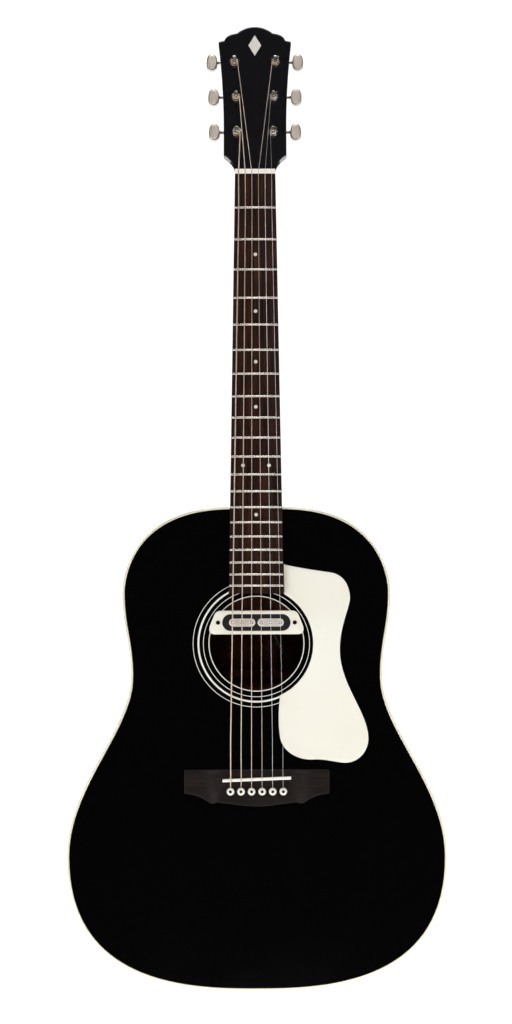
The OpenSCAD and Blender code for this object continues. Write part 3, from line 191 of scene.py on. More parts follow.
def finish(name, colour=None, **sockets):
    """A new material with one Principled shader, whose sockets take the given values, and its even
    colour where it has one. Returns the material, its tree and the place of each point in metres."""
    material = bpy.data.materials.new(name)
    material.use_nodes = True
    tree = material.node_tree
    shader = tree.nodes["Principled BSDF"]
    if colour:
        shader.inputs["Base Color"].default_value = paint(colour)
    for key, value in sockets.items():
        shader.inputs[key.replace("_", " ")].default_value = value
    return material, tree, add(tree, "TexCoord").outputs["Object"]


def shade(tree, socket, value):
    """Links an output to a socket of the tree's Principled shader."""
    tree.links.new(value, tree.nodes["Principled BSDF"].inputs[socket])


def clouds(tree, place, scale, detail=2.0, distortion=0.0):
    """Noise from 0 to 1, with about scale blots to the metre."""
    return add(tree, "TexNoise", {}, {"Vector": place, "Scale": scale, "Detail": detail,
                                      "Distortion": distortion}).outputs["Fac"]


def grain(tree, place, squash):
    """The place with each axis scaled by squash: noise on it is drawn out along the small ones."""
    return add(tree, "Mapping", {}, {"Vector": place, "Scale": squash}).outputs["Vector"]


def mapped(tree, value, low, high, start=0.0, end=1.0):
    """A straight ramp, held at its ends: low where the value is start, and high where it is end."""
    return add(tree, "MapRange", {}, {"Value": value, "From Min": start, "From Max": end,
                                      "To Min": low, "To Max": high}).outputs["Result"]


def tones(tree, value, *stops):
    """The colour at the value on a ramp of stops, each a place from 0 to 1 and a hex code."""
    return add(tree, "ValToRGB", {"stops": stops}, {"Fac": value}).outputs["Color"]


def over(tree, mask, below, above):
    """One colour laid over another by a mask from 0 to 1."""
    return add(tree, "Mix", {"data_type": "RGBA"}, {"Factor": mask, "A": below, "B": above}).outputs["Result"]


def bands(tree, place, axis, gap, distortion=0.0, detail=2.0):
    """Even waves from 0 to 1 along an axis, gap metres apart, bent by the distortion. At scale 1
    the node draws 20 / 2 pi waves to the metre."""
    scale = 2 * math.pi / 20 / gap
    return add(tree, "TexWave", {"bands_direction": axis}, {
        "Vector": place, "Scale": scale, "Distortion": distortion, "Detail": detail}).outputs["Fac"]


def relief(tree, height, strength, distance, invert=False):
    """Bends the surface's normal as a height map of that distance, in metres, would."""
    bump = add(tree, "Bump", {"invert": invert}, {"Height": height, "Strength": strength,
                                                  "Distance": distance})
    shade(tree, "Normal", bump.outputs["Normal"])


# Black nitrocellulose lacquer, polished: a deep black with a wet gloss, the faint ripple of sprayed
# lacquer 4 mm across, and a breath of polishing haze
BLACK = "#020202"
RIPPLE = 1 / 0.004
black_lacquer, tree, place = finish("black nitro lacquer, polished", BLACK, IOR=1.5, Coat_Weight=0.6,
                                    Coat_Roughness=0.02)
shade(tree, "Roughness", mapped(tree, clouds(tree, place, 18, 4), 0.05, 0.12))
relief(tree, clouds(tree, place, RIPPLE, 1), 0.05, 0.0002)

# Bare mahogany, planed: red-brown, with ribbon figure 12 mm wide and open pores 7 mm long that run
# along the grain
mahogany, tree, place = finish("mahogany, planed and bare", Roughness=0.62, IOR=1.5)
along_grain = grain(tree, place, (1, 1, 0.08))
ribbon = tones(tree, clouds(tree, along_grain, 1 / 0.012, 3, 0.6), (0.3, "#6A331C"), (0.55, "#98502C"),
               (0.75, "#B4683C"))
pores = mapped(tree, clouds(tree, along_grain, 1 / 0.0006), 0, 1, 0.62, 0.7)
shade(tree, "Base Color", over(tree, pores, ribbon, paint("#2A130B")))
relief(tree, pores, 0.3, 0.0002, invert=True)

side_line, side_inner = half_line(0), half_line(SIDE_T)
for name, hand in (("side_treble", 1), ("side_bass", -1)):
    edge = np.stack([side_line, side_line, side_inner, side_inner], 1)
    front = np.full(len(side_line), BINDING_H)
    depth = np.stack([front, back_at(*side_line.T, BINDING_H), back_at(*side_inner.T, BINDING_H), front], 1)
    rings = np.stack([edge[..., 0] * hand, depth, edge[..., 1]], -1).transpose(1, 0, 2)
    wall = solid(name + "_wall", rings, [black_lacquer, mahogany], "guitar", "black_lacquer", looped=True,
                 skin=[0, 1, 1, 1])
    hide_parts(name)

# ------------------------------------------------------------------ Linings and blocks
# Kerfed mahogany strips glued round the inside of both edges, and a block of the same wood at each
# end. Four mahogany bars and a strip hold the back's arch and joint. All of it is bare wood.

# Kerfed lining: the same bare mahogany, with a saw cut every 14 mm, drawn as a bump and a dark brown line of
# painted shade in each cut
kerfed, tree, place = finish("mahogany lining, kerfed", Roughness=0.7, IOR=1.5)
kerf_cuts_and_shade = bands(tree, place, "Z", 0.014)
# Painted shade: each saw cut is coloured dark brown, for the shadow inside the gap
shade(tree, "Base Color", tones(tree, kerf_cuts_and_shade, (0.02, "#2B150C"), (0.12, "#8A5230")))
relief(tree, kerf_cuts_and_shade, 0.5, 0.001)


def wear(material, *nodes):
    """Gives CAD nodes that are shown as they are their material."""
    for node in nodes:
        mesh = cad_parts[node].data
        mesh.materials.clear()
        mesh.materials.append(material)


wear(kerfed, "linings")
wear(mahogany, "neck_block", "end_block", "back_braces", "back_strip")

# ------------------------------------------------------------------ Braces
# Split spruce, planed and shaped: an X brace with tone bars under the soundboard. Under the bridge
# a maple plate takes the strings' balls. All of it is left bare.

# Bare spruce, planed: pale straw colour with growth lines 3 mm apart
GROWTH = 0.003
spruce, tree, place = finish("spruce, planed and bare", Roughness=0.6, IOR=1.5)
growth_lines = bands(tree, place, "X", GROWTH, 0.8)
shade(tree, "Base Color", tones(tree, growth_lines, (0.1, "#B98F5C"), (0.5, "#DDBD8B"), (0.9, "#E6CB9D")))
wear(spruce, "top_braces")

# Bare maple, scraped: cream-brown and close-grained, with a faint curl 6 mm wide
maple, tree, place = finish("maple, scraped and bare", Roughness=0.5, IOR=1.5)
shade(tree, "Base Color", tones(tree, clouds(tree, place, 1 / 0.006), (0.35, "#C49A66"), (0.65, "#DDB986")))
wear(maple, "bridge_plate")

# ------------------------------------------------------------------ Back
# Two mahogany plates joined down the middle and glued over arched braces, so that the back is a
# shallow barrel. It is lacquered black outside and bare inside, where the sound hole shows it.

BACK_T = 2.5
# Each ring of the plate is the outline drawn in towards its middle, to one of these shares
RING_SHARES = np.array([1, 0.97, 0.93, 0.88, 0.82, 0.75, 0.67, 0.58, 0.49, 0.4, 0.31, 0.22, 0.13, 0.05])
back_line = mirrored(half_line(SIDE_T))
back_mid = np.array([0, mix(joint_z, tail_z, 0.55)])
spread = back_mid + RING_SHARES[:, None, None] * (back_line - back_mid)
outer_back = np.stack([spread[..., 0], back_at(spread[..., 0], spread[..., 1]), spread[..., 1]], -1)
inner_back = np.stack([spread[..., 0], back_at(spread[..., 0], spread[..., 1], BACK_T), spread[..., 1]], -1)
back_rings = np.concatenate([outer_back[::-1], inner_back])
count = len(RING_SHARES)
back = solid("back_plate", back_rings, [black_lacquer, mahogany], "guitar", "black_lacquer",
             skin=[0] * (count - 1) + [1] * count, sharp=40)
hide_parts("back")

# ------------------------------------------------------------------ Soundboard and rosette
# A bookmatched spruce plate, sprayed with the same black lacquer outside. Round the hole four
# grooves hold white plastic lines, scraped level before the last coats.

TOP_T = 2.8
HOLE_Z, HOLE_R = joint_z - 147.4, 50.8

# The plate is lacquered in front and on the hole's edge, and bare spruce behind: the change is at
# the back face, which is found by its depth
soundboard, tree, place = finish("spruce soundboard, black lacquer in front", IOR=1.5, Coat_Weight=0.6,
                                 Coat_Roughness=0.02)
depth_of = add(tree, "SeparateXYZ", {}, {"Vector": place}).outputs["Y"]
near_back = (TOP_T - 0.3) * 0.001
behind = add(tree, "Math", {"operation": "GREATER_THAN"}, {0: depth_of, 1: near_back}).outputs["Value"]
bare_wood = tones(tree, bands(tree, place, "X", GROWTH, 0.8), (0.1, "#A87E4E"), (0.6, "#D9B885"))
shade(tree, "Base Color", over(tree, behind, paint(BLACK), bare_wood))
top_gloss = mapped(tree, clouds(tree, place, 18, 4), 0.05, 0.12)
shade(tree, "Roughness", add(tree, "Mix", {}, {"Factor": behind, "A": top_gloss, "B": 0.6}).outputs["Result"])
relief(tree, clouds(tree, place, RIPPLE, 1), 0.05, 0.0002)
wear(soundboard, "top")

# White plastic line under clear lacquer: even ivory white with a soft gloss
white_line, tree, place = finish("white ABS purfling, scraped and lacquered", Roughness=0.22, IOR=1.5,
                                 Coat_Weight=0.4, Coat_Roughness=0.05)
shade(tree, "Base Color", tones(tree, clouds(tree, place, 60, 3), (0.3, "#E4E1D6"), (0.7, "#F2EFE6")))
wear(white_line, "rosette")

# ------------------------------------------------------------------ Binding
# Cream plastic strips glued into a rebate round both edges of the body, scraped flush and rounded
# over by hand, then lacquered clear.

# Cream cellulose binding: warm cream, a little yellowed by the lacquer, with a scraped, glossy face
cream_binding, tree, place = finish("cream cellulose binding, scraped", Roughness=0.18, IOR=1.5,
                                    Coat_Weight=0.6, Coat_Roughness=0.04)
shade(tree, "Base Color", tones(tree, clouds(tree, place, 25, 3), (0.3, "#E2DABC"), (0.7, "#EEE8D0")))

ROUND_OVER = 1.5
quarter = np.linspace(0, np.pi / 2, 6)
strip = np.vstack([[[0, BINDING_H]], np.stack([ROUND_OVER * (1 - np.cos(quarter)),
                                               ROUND_OVER * (1 - np.sin(quarter))], 1),
                   [[SIDE_T, 0], [SIDE_T, BINDING_H]]])
insets = [mirrored(half_line(row[0])) for row in strip]
front_strip = np.stack([np.stack([line[:, 0], np.full(len(line), row[1]), line[:, 1]], -1)
                        for line, row in zip(insets, strip)])
back_edge = np.stack([np.stack([line[:, 0], back_at(line[:, 0], line[:, 1], row[1]), line[:, 1]], -1)
                      for line, row in zip(insets, strip)])
bindings = solid("binding_strips", np.stack([front_strip, back_edge[::-1]]), cream_binding, "guitar",
                 "cream_plastic", looped=True)
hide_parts("binding")

# ------------------------------------------------------------------ Neck and headstock
# One piece of mahogany, sawn and carved: a rounded shaft, a heel that sweeps down to the back, and
# a headstock tilted 14 degrees. It is sprayed black and polished like the body.

NUT_W, NUT_T = 43.6, 5.0
NECK_T = (14.5, 16.0)  # at the nut and at the body
HEEL_END, HEEL_FOOT, HEEL_SWEEP, HEEL_FOOT_HALF = 97.5, 21.0, 65.0, 14.0
HEAD_TILT = math.radians(14)
HEAD_DROP, HEAD_LEN, HEAD_T, VENEER_T = 2.0, 165.6, 15.0, 1.5
BUTTON = (66.0, joint_z + 12)


def board_half(z):
    """Half the fingerboard's width, which grows evenly from the nut to the body."""
    return (NUT_W + (2 * NECK_HALF - NUT_W) * z / joint_z) / 2


def from_head(across, up, out):
    """A point of the headstock's own frame in the guitar's: the frame is tilted back by HEAD_TILT."""
    s, c = math.sin(HEAD_TILT), math.cos(HEAD_TILT)
    across, up, out = np.broadcast_arrays(across, up, out)
    return np.stack([across, up * s - out * c - HEAD_DROP, up * c + out * s + NUT_T], -1)


def heel_width(y, rise):
    """Half width of the heel at depth y and height rise over the joint: it narrows to the foot as
    (1-s)^1.2, and rounds off towards its upper edge, which falls away as (1-s)^5."""
    s = np.clip(y / HEEL_END, 0, 1)
    half = mix(HEEL_FOOT_HALF, NECK_HALF - 0.2, (1 - s) ** 1.2)
    reach = HEEL_FOOT + HEEL_SWEEP * (1 - s) ** 5
    return half * np.clip(1 - np.clip(rise / reach, 0, 1) ** (2 / 0.9), 0, 1) ** 0.4


def smooth_max(a, b, k):
    """The larger of a and b, with the crease between them rounded over a width k."""
    k = np.maximum(k, 1e-6)
    h = np.clip(k - np.abs(a - b), 0, None) / k
    return np.maximum(a, b) + h * h * k / 4


# Rings up the heel and the shaft: each is a flat face under the fingerboard and a curve round the
# back, whose depth is the larger of the shaft's and the heel's. They crowd where the heel's edge
# turns, and the last is just short of the turn at the nut
nose = np.linspace(0, 1, 36)
heel_rise = np.concatenate([[0, 2], np.linspace(4, 20, 9), HEEL_FOOT + HEEL_SWEEP * (1 - nose[::-1]) ** 5,
                            np.linspace(92, 330, 20)])
heel_rise = np.unique(np.concatenate([heel_rise, HEEL_FOOT + HEEL_SWEEP * nose ** 5]))
angles = np.linspace(0, np.pi / 2, 49)
SHAFT_ROUND = 2.3


def shaft_depth(z):
    """Thickness of the neck's wood, which grows evenly from the nut to the body."""
    return mix(*NECK_T, z / joint_z)


z_rows = (joint_z + heel_rise)[:, None]
nose_depth = HEEL_END * (1 - np.clip((heel_rise - HEEL_FOOT) / HEEL_SWEEP, 0, 1) ** 0.2)[:, None]
deep = np.maximum(shaft_depth(z_rows), np.where(heel_rise[:, None] < HEEL_FOOT + HEEL_SWEEP, nose_depth, 0))
y_rows = deep * np.sin(angles) ** (2 / SHAFT_ROUND)
shaft_x = board_half(z_rows) * np.clip(1 - np.clip(y_rows / shaft_depth(z_rows), 0, 1) ** SHAFT_ROUND,
                                       0, 1) ** (1 / SHAFT_ROUND)
x_rows = smooth_max(shaft_x, heel_width(y_rows, heel_rise[:, None]), np.minimum(5, y_rows * 0.5))
x_rows = np.maximum(np.where(heel_rise[:, None] >= HEEL_FOOT + HEEL_SWEEP, shaft_x, x_rows), 0.04)

# The heel's treble side has a flat for the strap button, which runs out at a slope round its edge
FLAT_R, FLAT_SLOPE = 7.5, 1.5
away = np.hypot(y_rows - BUTTON[0], z_rows - BUTTON[1])
treble_x = np.minimum(x_rows, HEEL_FOOT_HALF + np.clip(away - FLAT_R, 0, None) * FLAT_SLOPE)


def ring(right, left, front_to_back):
    """Joins the treble side's points, front to back, and the bass side's, back to front."""
    return np.concatenate([front_to_back(right), front_to_back(left)[:, ::-1]], 1)


neck_rings = ring(treble_x, -x_rows, lambda x: np.stack(
    [x, y_rows, np.broadcast_to(z_rows, x.shape)], -1))

# Half of the headstock's outline, from the nut up: a scoop, a side that widens to its tip, a step, a
# hollow flank and the crown. The half widths are named for where they are
head_low, head_tip, flank, crest = 34.0, 39.5, 33.2, 19.5
step_z, flank_z = HEAD_LEN - 16.1, HEAD_LEN - 7.6


def bend(a, b, c, steps):
    """Quadratic curve from a to c, drawn towards b: weights (1-t)^2, 2t(1-t) and t^2."""
    t = np.linspace(0, 1, steps + 1)[:, None]
    return (1 - t) ** 2 * np.array(a) + 2 * t * (1 - t) * np.array(b) + t * t * np.array(c)


scoop_r, scoop_x, scoop_z, scoop_rise = 24.4, head_low + 12, -4.6, 20.8
sweep = np.pi - np.linspace(math.asin(-scoop_z / scoop_r), math.asin(scoop_rise / scoop_r), 13)
head_edge = np.vstack([
    np.stack([scoop_x + scoop_r * np.cos(sweep), scoop_z + scoop_r * np.sin(sweep)], 1),
    [[head_low, 18.6]],
    bend([head_low, 47], [head_low, mix(47, step_z - 3, 0.5)], [head_tip, step_z - 3], 10),
    bend([head_tip, step_z - 3], [head_tip, step_z - 1.6], [head_tip - 1.2, step_z - 1.2], 3)[1:],
    [[flank + 0.1, step_z]],
    bend([flank, step_z + 0.05], [flank - 2.7, flank_z - 0.8], [crest, flank_z], 10),
    bend([crest, flank_z], [crest * 0.55, HEAD_LEN], [0.05, HEAD_LEN], 16)[1:]])

# Rings through the turn at the nut and up the headstock: the round section squares off, and its
# plane tilts with the face. Both ease in and out as 3t^2 - 2t^3
NUT_ROUND, TIP_ROUND, SQUARE_BY = 4.5, 14, 36
turn_z = np.linspace(-22, 3, 9)
turn = np.linspace(0, 1, len(turn_z) + 1)[1:, None]
ease = turn * turn * (3 - 2 * turn)
roundness = mix(SHAFT_ROUND, NUT_ROUND, ease)
tilt = HEAD_TILT * ease * 0.9
turn_deep = shaft_depth(turn_z[:, None]) * np.sin(angles) ** (2 / roundness)
turn_x = np.maximum(board_half(turn_z[:, None]) * np.cos(angles) ** (2 / roundness), 0.04)
turn_rings = ring(turn_x, -turn_x, lambda x: np.stack(
    [x, turn_deep * np.cos(tilt), turn_z[:, None] - turn_deep * np.sin(tilt)], -1))
head_w, head_z = head_edge[:, :1], head_edge[:, 1:]
square = np.clip(head_z / SQUARE_BY, 0, 1)
squareness = mix(NUT_ROUND, TIP_ROUND, square * square * (3 - 2 * square))
head_deep = VENEER_T + HEAD_T * np.sin(angles) ** (2 / squareness)
head_x = np.maximum(head_w * np.cos(angles) ** (2 / squareness), 0.02)
head_rings = ring(head_x, -head_x, lambda x: from_head(x, head_z, -head_deep))
neck = solid("neck_and_headstock", np.concatenate([neck_rings, turn_rings, head_rings[1:]]), black_lacquer,
             "guitar", "black_lacquer", sharp=38)
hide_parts("neck")

# ------------------------------------------------------------------ Headstock veneer
# A thin plate of black-dyed wood glued to the face, sawn to the headstock's outline, with its edge
# eased by sandpaper. It is lacquered black, and the ornament is let into it.

# Black lacquer on the veneer: as on the body, but rubbed out finer, so that it is a charcoal black
face_lacquer, tree, place = finish("black nitro lacquer on veneer, rubbed out", "#131316", IOR=1.5,
                                   Coat_Weight=0.3, Coat_Roughness=0.06)
shade(tree, "Roughness", mapped(tree, clouds(tree, place, 30, 4), 0.08, 0.14))


def plate(name, edge, layers, place_at, *rest, **more):
    """Flat piece with shaped edges: its closed outline is repeated at each layer, an inset and a
    height, with the inset measured along the outline's normal."""
    edge = np.asarray(edge, float)
    slope = np.roll(edge, -1, 0) - np.roll(edge, 1, 0)
    slope /= np.maximum(np.linalg.norm(slope, axis=1), 1e-9)[:, None]
    area = np.sum(edge[:, 0] * np.roll(edge[:, 1], -1) - edge[:, 1] * np.roll(edge[:, 0], -1))
    inwards = np.sign(area) * np.stack([-slope[:, 1], slope[:, 0]], 1)
    rings = [place_at(*(edge + inset * inwards).T, height) for inset, height in layers]
    return solid(name, np.stack(rings), *rest, **more)


def closed(line):
    """A half line, given from the bottom to the top, closed by its mirror image."""
    return np.vstack([line, line[::-1] * (-1, 1)])


# The face stays a hair under the ornament's. Its last two layers are level, so that the eased edge's
# shading stops at the inner one
FACE = -0.03
veneer_layers = [(0, -VENEER_T), (0, -0.4), (0.12, -0.13), (0.35, FACE), (1.5, FACE)]
veneer = plate("headstock_face", closed(head_edge), veneer_layers, from_head, face_lacquer, "guitar",
               "black_lacquer", sharp=50)
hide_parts("headstock_veneer")

# ------------------------------------------------------------------ Heel cap
# A slip of the binding's cream plastic glued under the heel and trimmed to its shape.

wear(cream_binding, "heel_cap")

# ------------------------------------------------------------------ Truss rod
# A steel rod in a channel under the fingerboard, with a nut on its end inside the sound hole.

# Steel, drawn and oiled: dark grey metal with a patchy film of oil
drawn_steel, tree, place = finish("steel, drawn and oiled", "#8B8780", Metallic=1.0)
shade(tree, "Roughness", mapped(tree, clouds(tree, place, 400), 0.28, 0.42))
wear(drawn_steel, "truss_rod")

# ------------------------------------------------------------------ Fingerboard
# A board of rosewood glued to the neck, slotted for the frets with a thin saw, sanded and oiled.

# Rosewood, sanded and oiled: dark brown with near-black streaks 3 mm wide and fine open pores
# along the neck
rosewood, tree, place = finish("rosewood, sanded and oiled", IOR=1.5, Roughness=0.5, Specular_IOR_Level=0.1)
down_neck = grain(tree, place, (1, 1, 0.05))
streaks = tones(tree, clouds(tree, down_neck, 1 / 0.003, 3, 0.4), (0.3, "#140A07"), (0.48, "#27150E"),
                (0.62, "#341C12"), (0.78, "#462918"))
open_pores = mapped(tree, clouds(tree, down_neck, 1 / 0.0007), 0, 1, 0.6, 0.7)
shade(tree, "Base Color", over(tree, open_pores, streaks, paint("#0C0605")))
relief(tree, open_pores, 0.35, 0.0002, invert=True)
wear(rosewood, "fingerboard")

# ------------------------------------------------------------------ Frets
# Nickel-silver wire with a T section, pressed into the slots, levelled, crowned and polished; the
# ends are filed to a slope.

FRETS, BOARD_T, FRET_H, FRET_W = 20, 6.5, 1.1, 2.4

# Nickel silver, polished: a warm white metal, bright on its crown, with faint file marks
fret_wire, tree, place = finish("nickel silver fret wire, polished", "#D9D5CB", Metallic=1.0)
shade(tree, "Roughness", mapped(tree, clouds(tree, place, 900), 0.2, 0.34))

# Each wire is a half oval carried across the board, which shrinks over its last few hundredths
crown_turn = np.linspace(0, np.pi, 11)
reach_shares = np.array([-1, -0.985, -0.96, 0, 0.96, 0.985, 1])
crown_shares = np.array([0.25, 0.8, 1, 1, 1, 0.8, 0.25])
fret_z = fret_at(np.arange(1, FRETS + 1))
half_wire = board_half(fret_z) - 0.3
wires = np.zeros((FRETS, len(reach_shares), len(crown_turn), 3))
wires[..., 0] = (half_wire[:, None] * reach_shares)[:, :, None]
wires[..., 1] = -BOARD_T - FRET_H * crown_shares[:, None] * np.sin(crown_turn)
wires[..., 2] = fret_z[:, None, None] + FRET_W / 2 * np.cos(crown_turn)
fret_wires = solid("fret_wires", wires, fret_wire, "guitar", "fret_wire", sharp=60)
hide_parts("frets")

# ------------------------------------------------------------------ Pearl inlays
# Discs and a plain diamond, punched and sawn from mother-of-pearl, glued in and sanded level.

# Mother-of-pearl, polished: white with slow clouds of pink and green and a satin depth
pearl, tree, place = finish("mother-of-pearl, polished", Roughness=0.2, IOR=1.53, Coat_Weight=0.5,
                            Coat_Roughness=0.05)
shade(tree, "Base Color", tones(tree, clouds(tree, place, 1 / 0.004, 3, 1.5), (0.3, "#D5D8CC"),
                                (0.5, "#EFEBE2"), (0.7, "#E9D9D3")))
wear(pearl, "pearl_inlays")

# ------------------------------------------------------------------ Nut
# A block of bleached bone, filed to height with a slot for each string, and polished.

# Bone, polished: ivory white, faintly translucent, with short darker flecks across the neck
bone, tree, place = finish("bone, bleached and polished", Roughness=0.25, IOR=1.54,
                           Subsurface_Weight=0.05, Subsurface_Scale=0.002)
flecks = clouds(tree, grain(tree, place, (0.3, 1, 1)), 1 / 0.001)
shade(tree, "Base Color", tones(tree, flecks, (0.3, "#F5F0E1"), (0.6, "#FEFBF2")))
wear(bone, "nut")

# ------------------------------------------------------------------ Pickguard
# A sheet of cream celluloid cut to shape, its edge bevelled and polished, stuck to the lacquer. It
# runs along the fingerboard, round the rosette and out below the waist.

GUARD_T = 1.0

# Cream celluloid, polished: nearly white, with the soft gloss of a scuffed plastic sheet
celluloid, tree, place = finish("cream celluloid sheet, polished", IOR=1.5, Coat_Weight=0.2,
                                Coat_Roughness=0.1)
shade(tree, "Base Color", tones(tree, clouds(tree, place, 9, 3), (0.3, "#F1EDDD"), (0.7, "#F7F4E8")))
shade(tree, "Roughness", mapped(tree, clouds(tree, place, 120, 4), 0.24, 0.4))

# The outline runs from the fingerboard clockwise round to the foot, as curves whose handles are
# measured from the middle of the hole, and back to the fingerboard along an arc round the rosette
guard_top = 85.6
board_end = float(fret_at(FRETS)) - 8.6
guard_r = HOLE_R + 10.4
guard_start, guard_foot = (board_half(HOLE_Z + guard_top) + 0.4, guard_top), (25.4, -55.7)
guard_handles = [
    [guard_start, (45, guard_top - 3.8), (70, guard_top - 7.4), (80, guard_top - 8.8)],
    [(80, 76.8), (91.7, 75), (99.8, 66.4), (101, 51)],
    [(101, 51), (102, 40), (90.4, 22), (90, -6)],
    [(90, -6), (89.6, -44), (119, -72), (120.6, -101)],
    [(120.6, -101), (121.4, -115), (111, -128.6), (96, -128.8)],
    [(96, -128.8), (86, -128.8), (76, -124.4), (60, -125.3)],
    [(60, -125.3), (44, -126), (28.5, -116.5), (25.4, -102.5)],
    [(25.4, -102.5), (23.2, -90), (23.2, -74), guard_foot],
]
guard_parts = [curve(np.array(handles) + (0, HOLE_Z), 14)[:-1] for handles in guard_handles]
foot_turn = math.atan2(guard_foot[1], guard_foot[0])
inner_turn = np.linspace(foot_turn, math.acos((board_half(board_end) + 0.4) / guard_r), 60)
guard_parts.append(np.stack([guard_r * np.cos(inner_turn), HOLE_Z + guard_r * np.sin(inner_turn)], 1))
guard_edge = np.vstack(guard_parts)


def on_front(x, z, height):
    """A point on the soundboard, or over it by height."""
    return np.stack([x, np.full_like(x, -1.0) * height, z], -1)


guard_layers = [(0, 0), (0, 0.45), (0.3, 0.8), (0.6, 0.95), (0.9, GUARD_T), (2.0, GUARD_T)]
guard = plate("pickguard_sheet", guard_edge, guard_layers, on_front, celluloid, "guitar", "cream_plastic",
              sharp=50)
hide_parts("pickguard")

# ------------------------------------------------------------------ Bridge
# A block of dark rosewood glued to the soundboard: a flat middle, wings scooped down to thin tips,
# and a belly behind the pins. It is sanded and oiled, not lacquered.

SADDLE_Z = -SCALE - 4.4
BRIDGE_W, BRIDGE_T, WING_T, RIDGE = 156.8, 8.5, 3.2, 43.0
BRIDGE_FRONT, BRIDGE_BACK, BELLY = SADDLE_Z + 9.6, SADDLE_Z - 16.4, SADDLE_Z - 29.3

# Dark rosewood, sanded and oiled: grey-black brown, with grain lines 2 mm apart across the strings
dark_rosewood, tree, place = finish("dark rosewood, sanded and oiled", IOR=1.5, Roughness=0.45,
                                    Specular_IOR_Level=0.18)
grain_lines = clouds(tree, grain(tree, place, (0.06, 1, 1)), 1 / 0.002, 3)
shade(tree, "Base Color", tones(tree, grain_lines, (0.3, "#0D0806"), (0.55, "#18100D"), (0.75, "#261A15")))
relief(tree, grain_lines, 0.25, 0.0003)


def bridge_height(x):
    """Thickness of the bridge at x: full between the ridges, then a scoop that falls fast at first
    and flattens towards the wing's tip. It is a quadratic curve in t, whose share of the way out is
    slow t^2 + fast t."""
    share = np.clip((np.abs(x) - RIDGE) / (BRIDGE_W / 2 + 1 - RIDGE), 0, 1)
    fast, slow = 0.27, 0.365
    t = np.clip((-fast + np.sqrt(fast ** 2 + 4 * slow * share)) / (2 * slow), 0, 1)
    return (1 - t) ** 2 * BRIDGE_T + 2 * t * (1 - t) * (WING_T + 0.6) + t * t * WING_T


half_w = BRIDGE_W / 2
foot_z = mix(BRIDGE_BACK, BELLY, 0.78)
bridge_half = np.vstack([
    np.stack([np.linspace(0, half_w - 1, 40), np.full(40, BRIDGE_FRONT)], 1),
    bend((half_w - 0.6, BRIDGE_FRONT), (half_w, BRIDGE_FRONT), (half_w, BRIDGE_FRONT - 1), 4),
    bend((half_w, BRIDGE_BACK + 1.4), (half_w, BRIDGE_BACK + 0.4), (half_w - 1.2, BRIDGE_BACK + 0.2), 4),
    bend((half_w - 4, BRIDGE_BACK), (RIDGE + 20, BRIDGE_BACK - 1), (RIDGE + 7, foot_z), 14),
    [[RIDGE + 5.5, foot_z - 0.2], [RIDGE + 3, foot_z + 0.2], [RIDGE + 1, foot_z + 1.2]],
    bend((RIDGE, foot_z + 1.4), (RIDGE * 0.62, foot_z - 0.4), (RIDGE * 0.5, foot_z - 1.2), 8)[:-1],
    bend((RIDGE * 0.5, foot_z - 1.2), (RIDGE * 0.3, BELLY), (0, BELLY), 10),
])
bridge_line = mirrored(bridge_half)
bridge_mid = np.array([0, mix(BRIDGE_FRONT, BELLY, 0.42)])
spokes = bridge_line - bridge_mid

# Rings up the sides, over the eased edge, which is a quarter circle of radius EASE, and across the top
EASE = 0.9
ease_turn = np.linspace(0, np.pi / 2, 5)
shrink = np.concatenate([[0], EASE * (1 - np.cos(ease_turn))])
sink = np.concatenate([[BRIDGE_T], EASE * (1 - np.sin(ease_turn))])
bridge_rings = []
for inset, drop in zip(shrink, sink):
    line = bridge_mid + spokes * (1 - inset / np.maximum(np.linalg.norm(spokes, axis=1), 8))[:, None]
    height = np.maximum(bridge_height(line[:, 0]) - drop, 0)
    bridge_rings.append(np.stack([line[:, 0], -height, line[:, 1]], -1))
for share in (0.93, 0.85, 0.75, 0.64, 0.52, 0.4, 0.28, 0.16, 0.05):
    line = bridge_mid + spokes * share
    bridge_rings.append(np.stack([line[:, 0], -bridge_height(line[:, 0]), line[:, 1]], -1))
bridge = solid("bridge_block", np.stack(bridge_rings), dark_rosewood, "guitar", "rosewood", sharp=34)
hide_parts("bridge")

# ------------------------------------------------------------------ Saddle
# A strip of the same bone as the nut, standing in a slot that is slanted for the thicker strings,
# with its crest rounded over by file and paper.

SADDLE_W, SADDLE_T, SLANT, STRING_H = 74.0, 3.3, math.radians(2.2), 12.2
crest_turn = np.linspace(0, np.pi, 13)
SLOT_DEEP, CREST = 2.5, 1.15
crest_height = STRING_H - CREST + CREST * np.sin(crest_turn) ** 1.2
saddle_section = np.vstack([
    [[SADDLE_T / 2, -SLOT_DEEP]],
    np.stack([SADDLE_T / 2 * np.cos(crest_turn), crest_height], 1),
    [[-SADDLE_T / 2, -SLOT_DEEP]]])
# Six sections along the strip: the outer two at each end are thinner, which rounds its ends
ends = np.array([-1, -0.995, -0.985, 0.985, 0.995, 1]) * SADDLE_W / 2
trim = np.array([0.7, 0.9, 1, 1, 0.9, 0.7])
saddle_u = np.broadcast_to(ends[:, None], (len(ends), len(saddle_section)))
saddle_v = saddle_section[:, 0] * trim[:, None]
saddle_rings = np.stack([saddle_u * math.cos(SLANT) - saddle_v * math.sin(SLANT),
                         np.broadcast_to(-saddle_section[:, 1], saddle_u.shape),
                         SADDLE_Z + saddle_u * math.sin(SLANT) + saddle_v * math.cos(SLANT)], -1)
saddle = solid("saddle_strip", saddle_rings, bone, "guitar", "bone", sharp=45)
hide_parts("saddle")

# ------------------------------------------------------------------ Bridge pins
# Six turned pins of white plastic that wedge the strings' balls under the bridge. Each has a domed
# head with a black dot pressed into it.

PIN_Z, PIN_SPREAD, PIN_R, PIN_HEAD_R = SADDLE_Z - 13, 56.9, 2.5, 4.2
STRINGS = 6

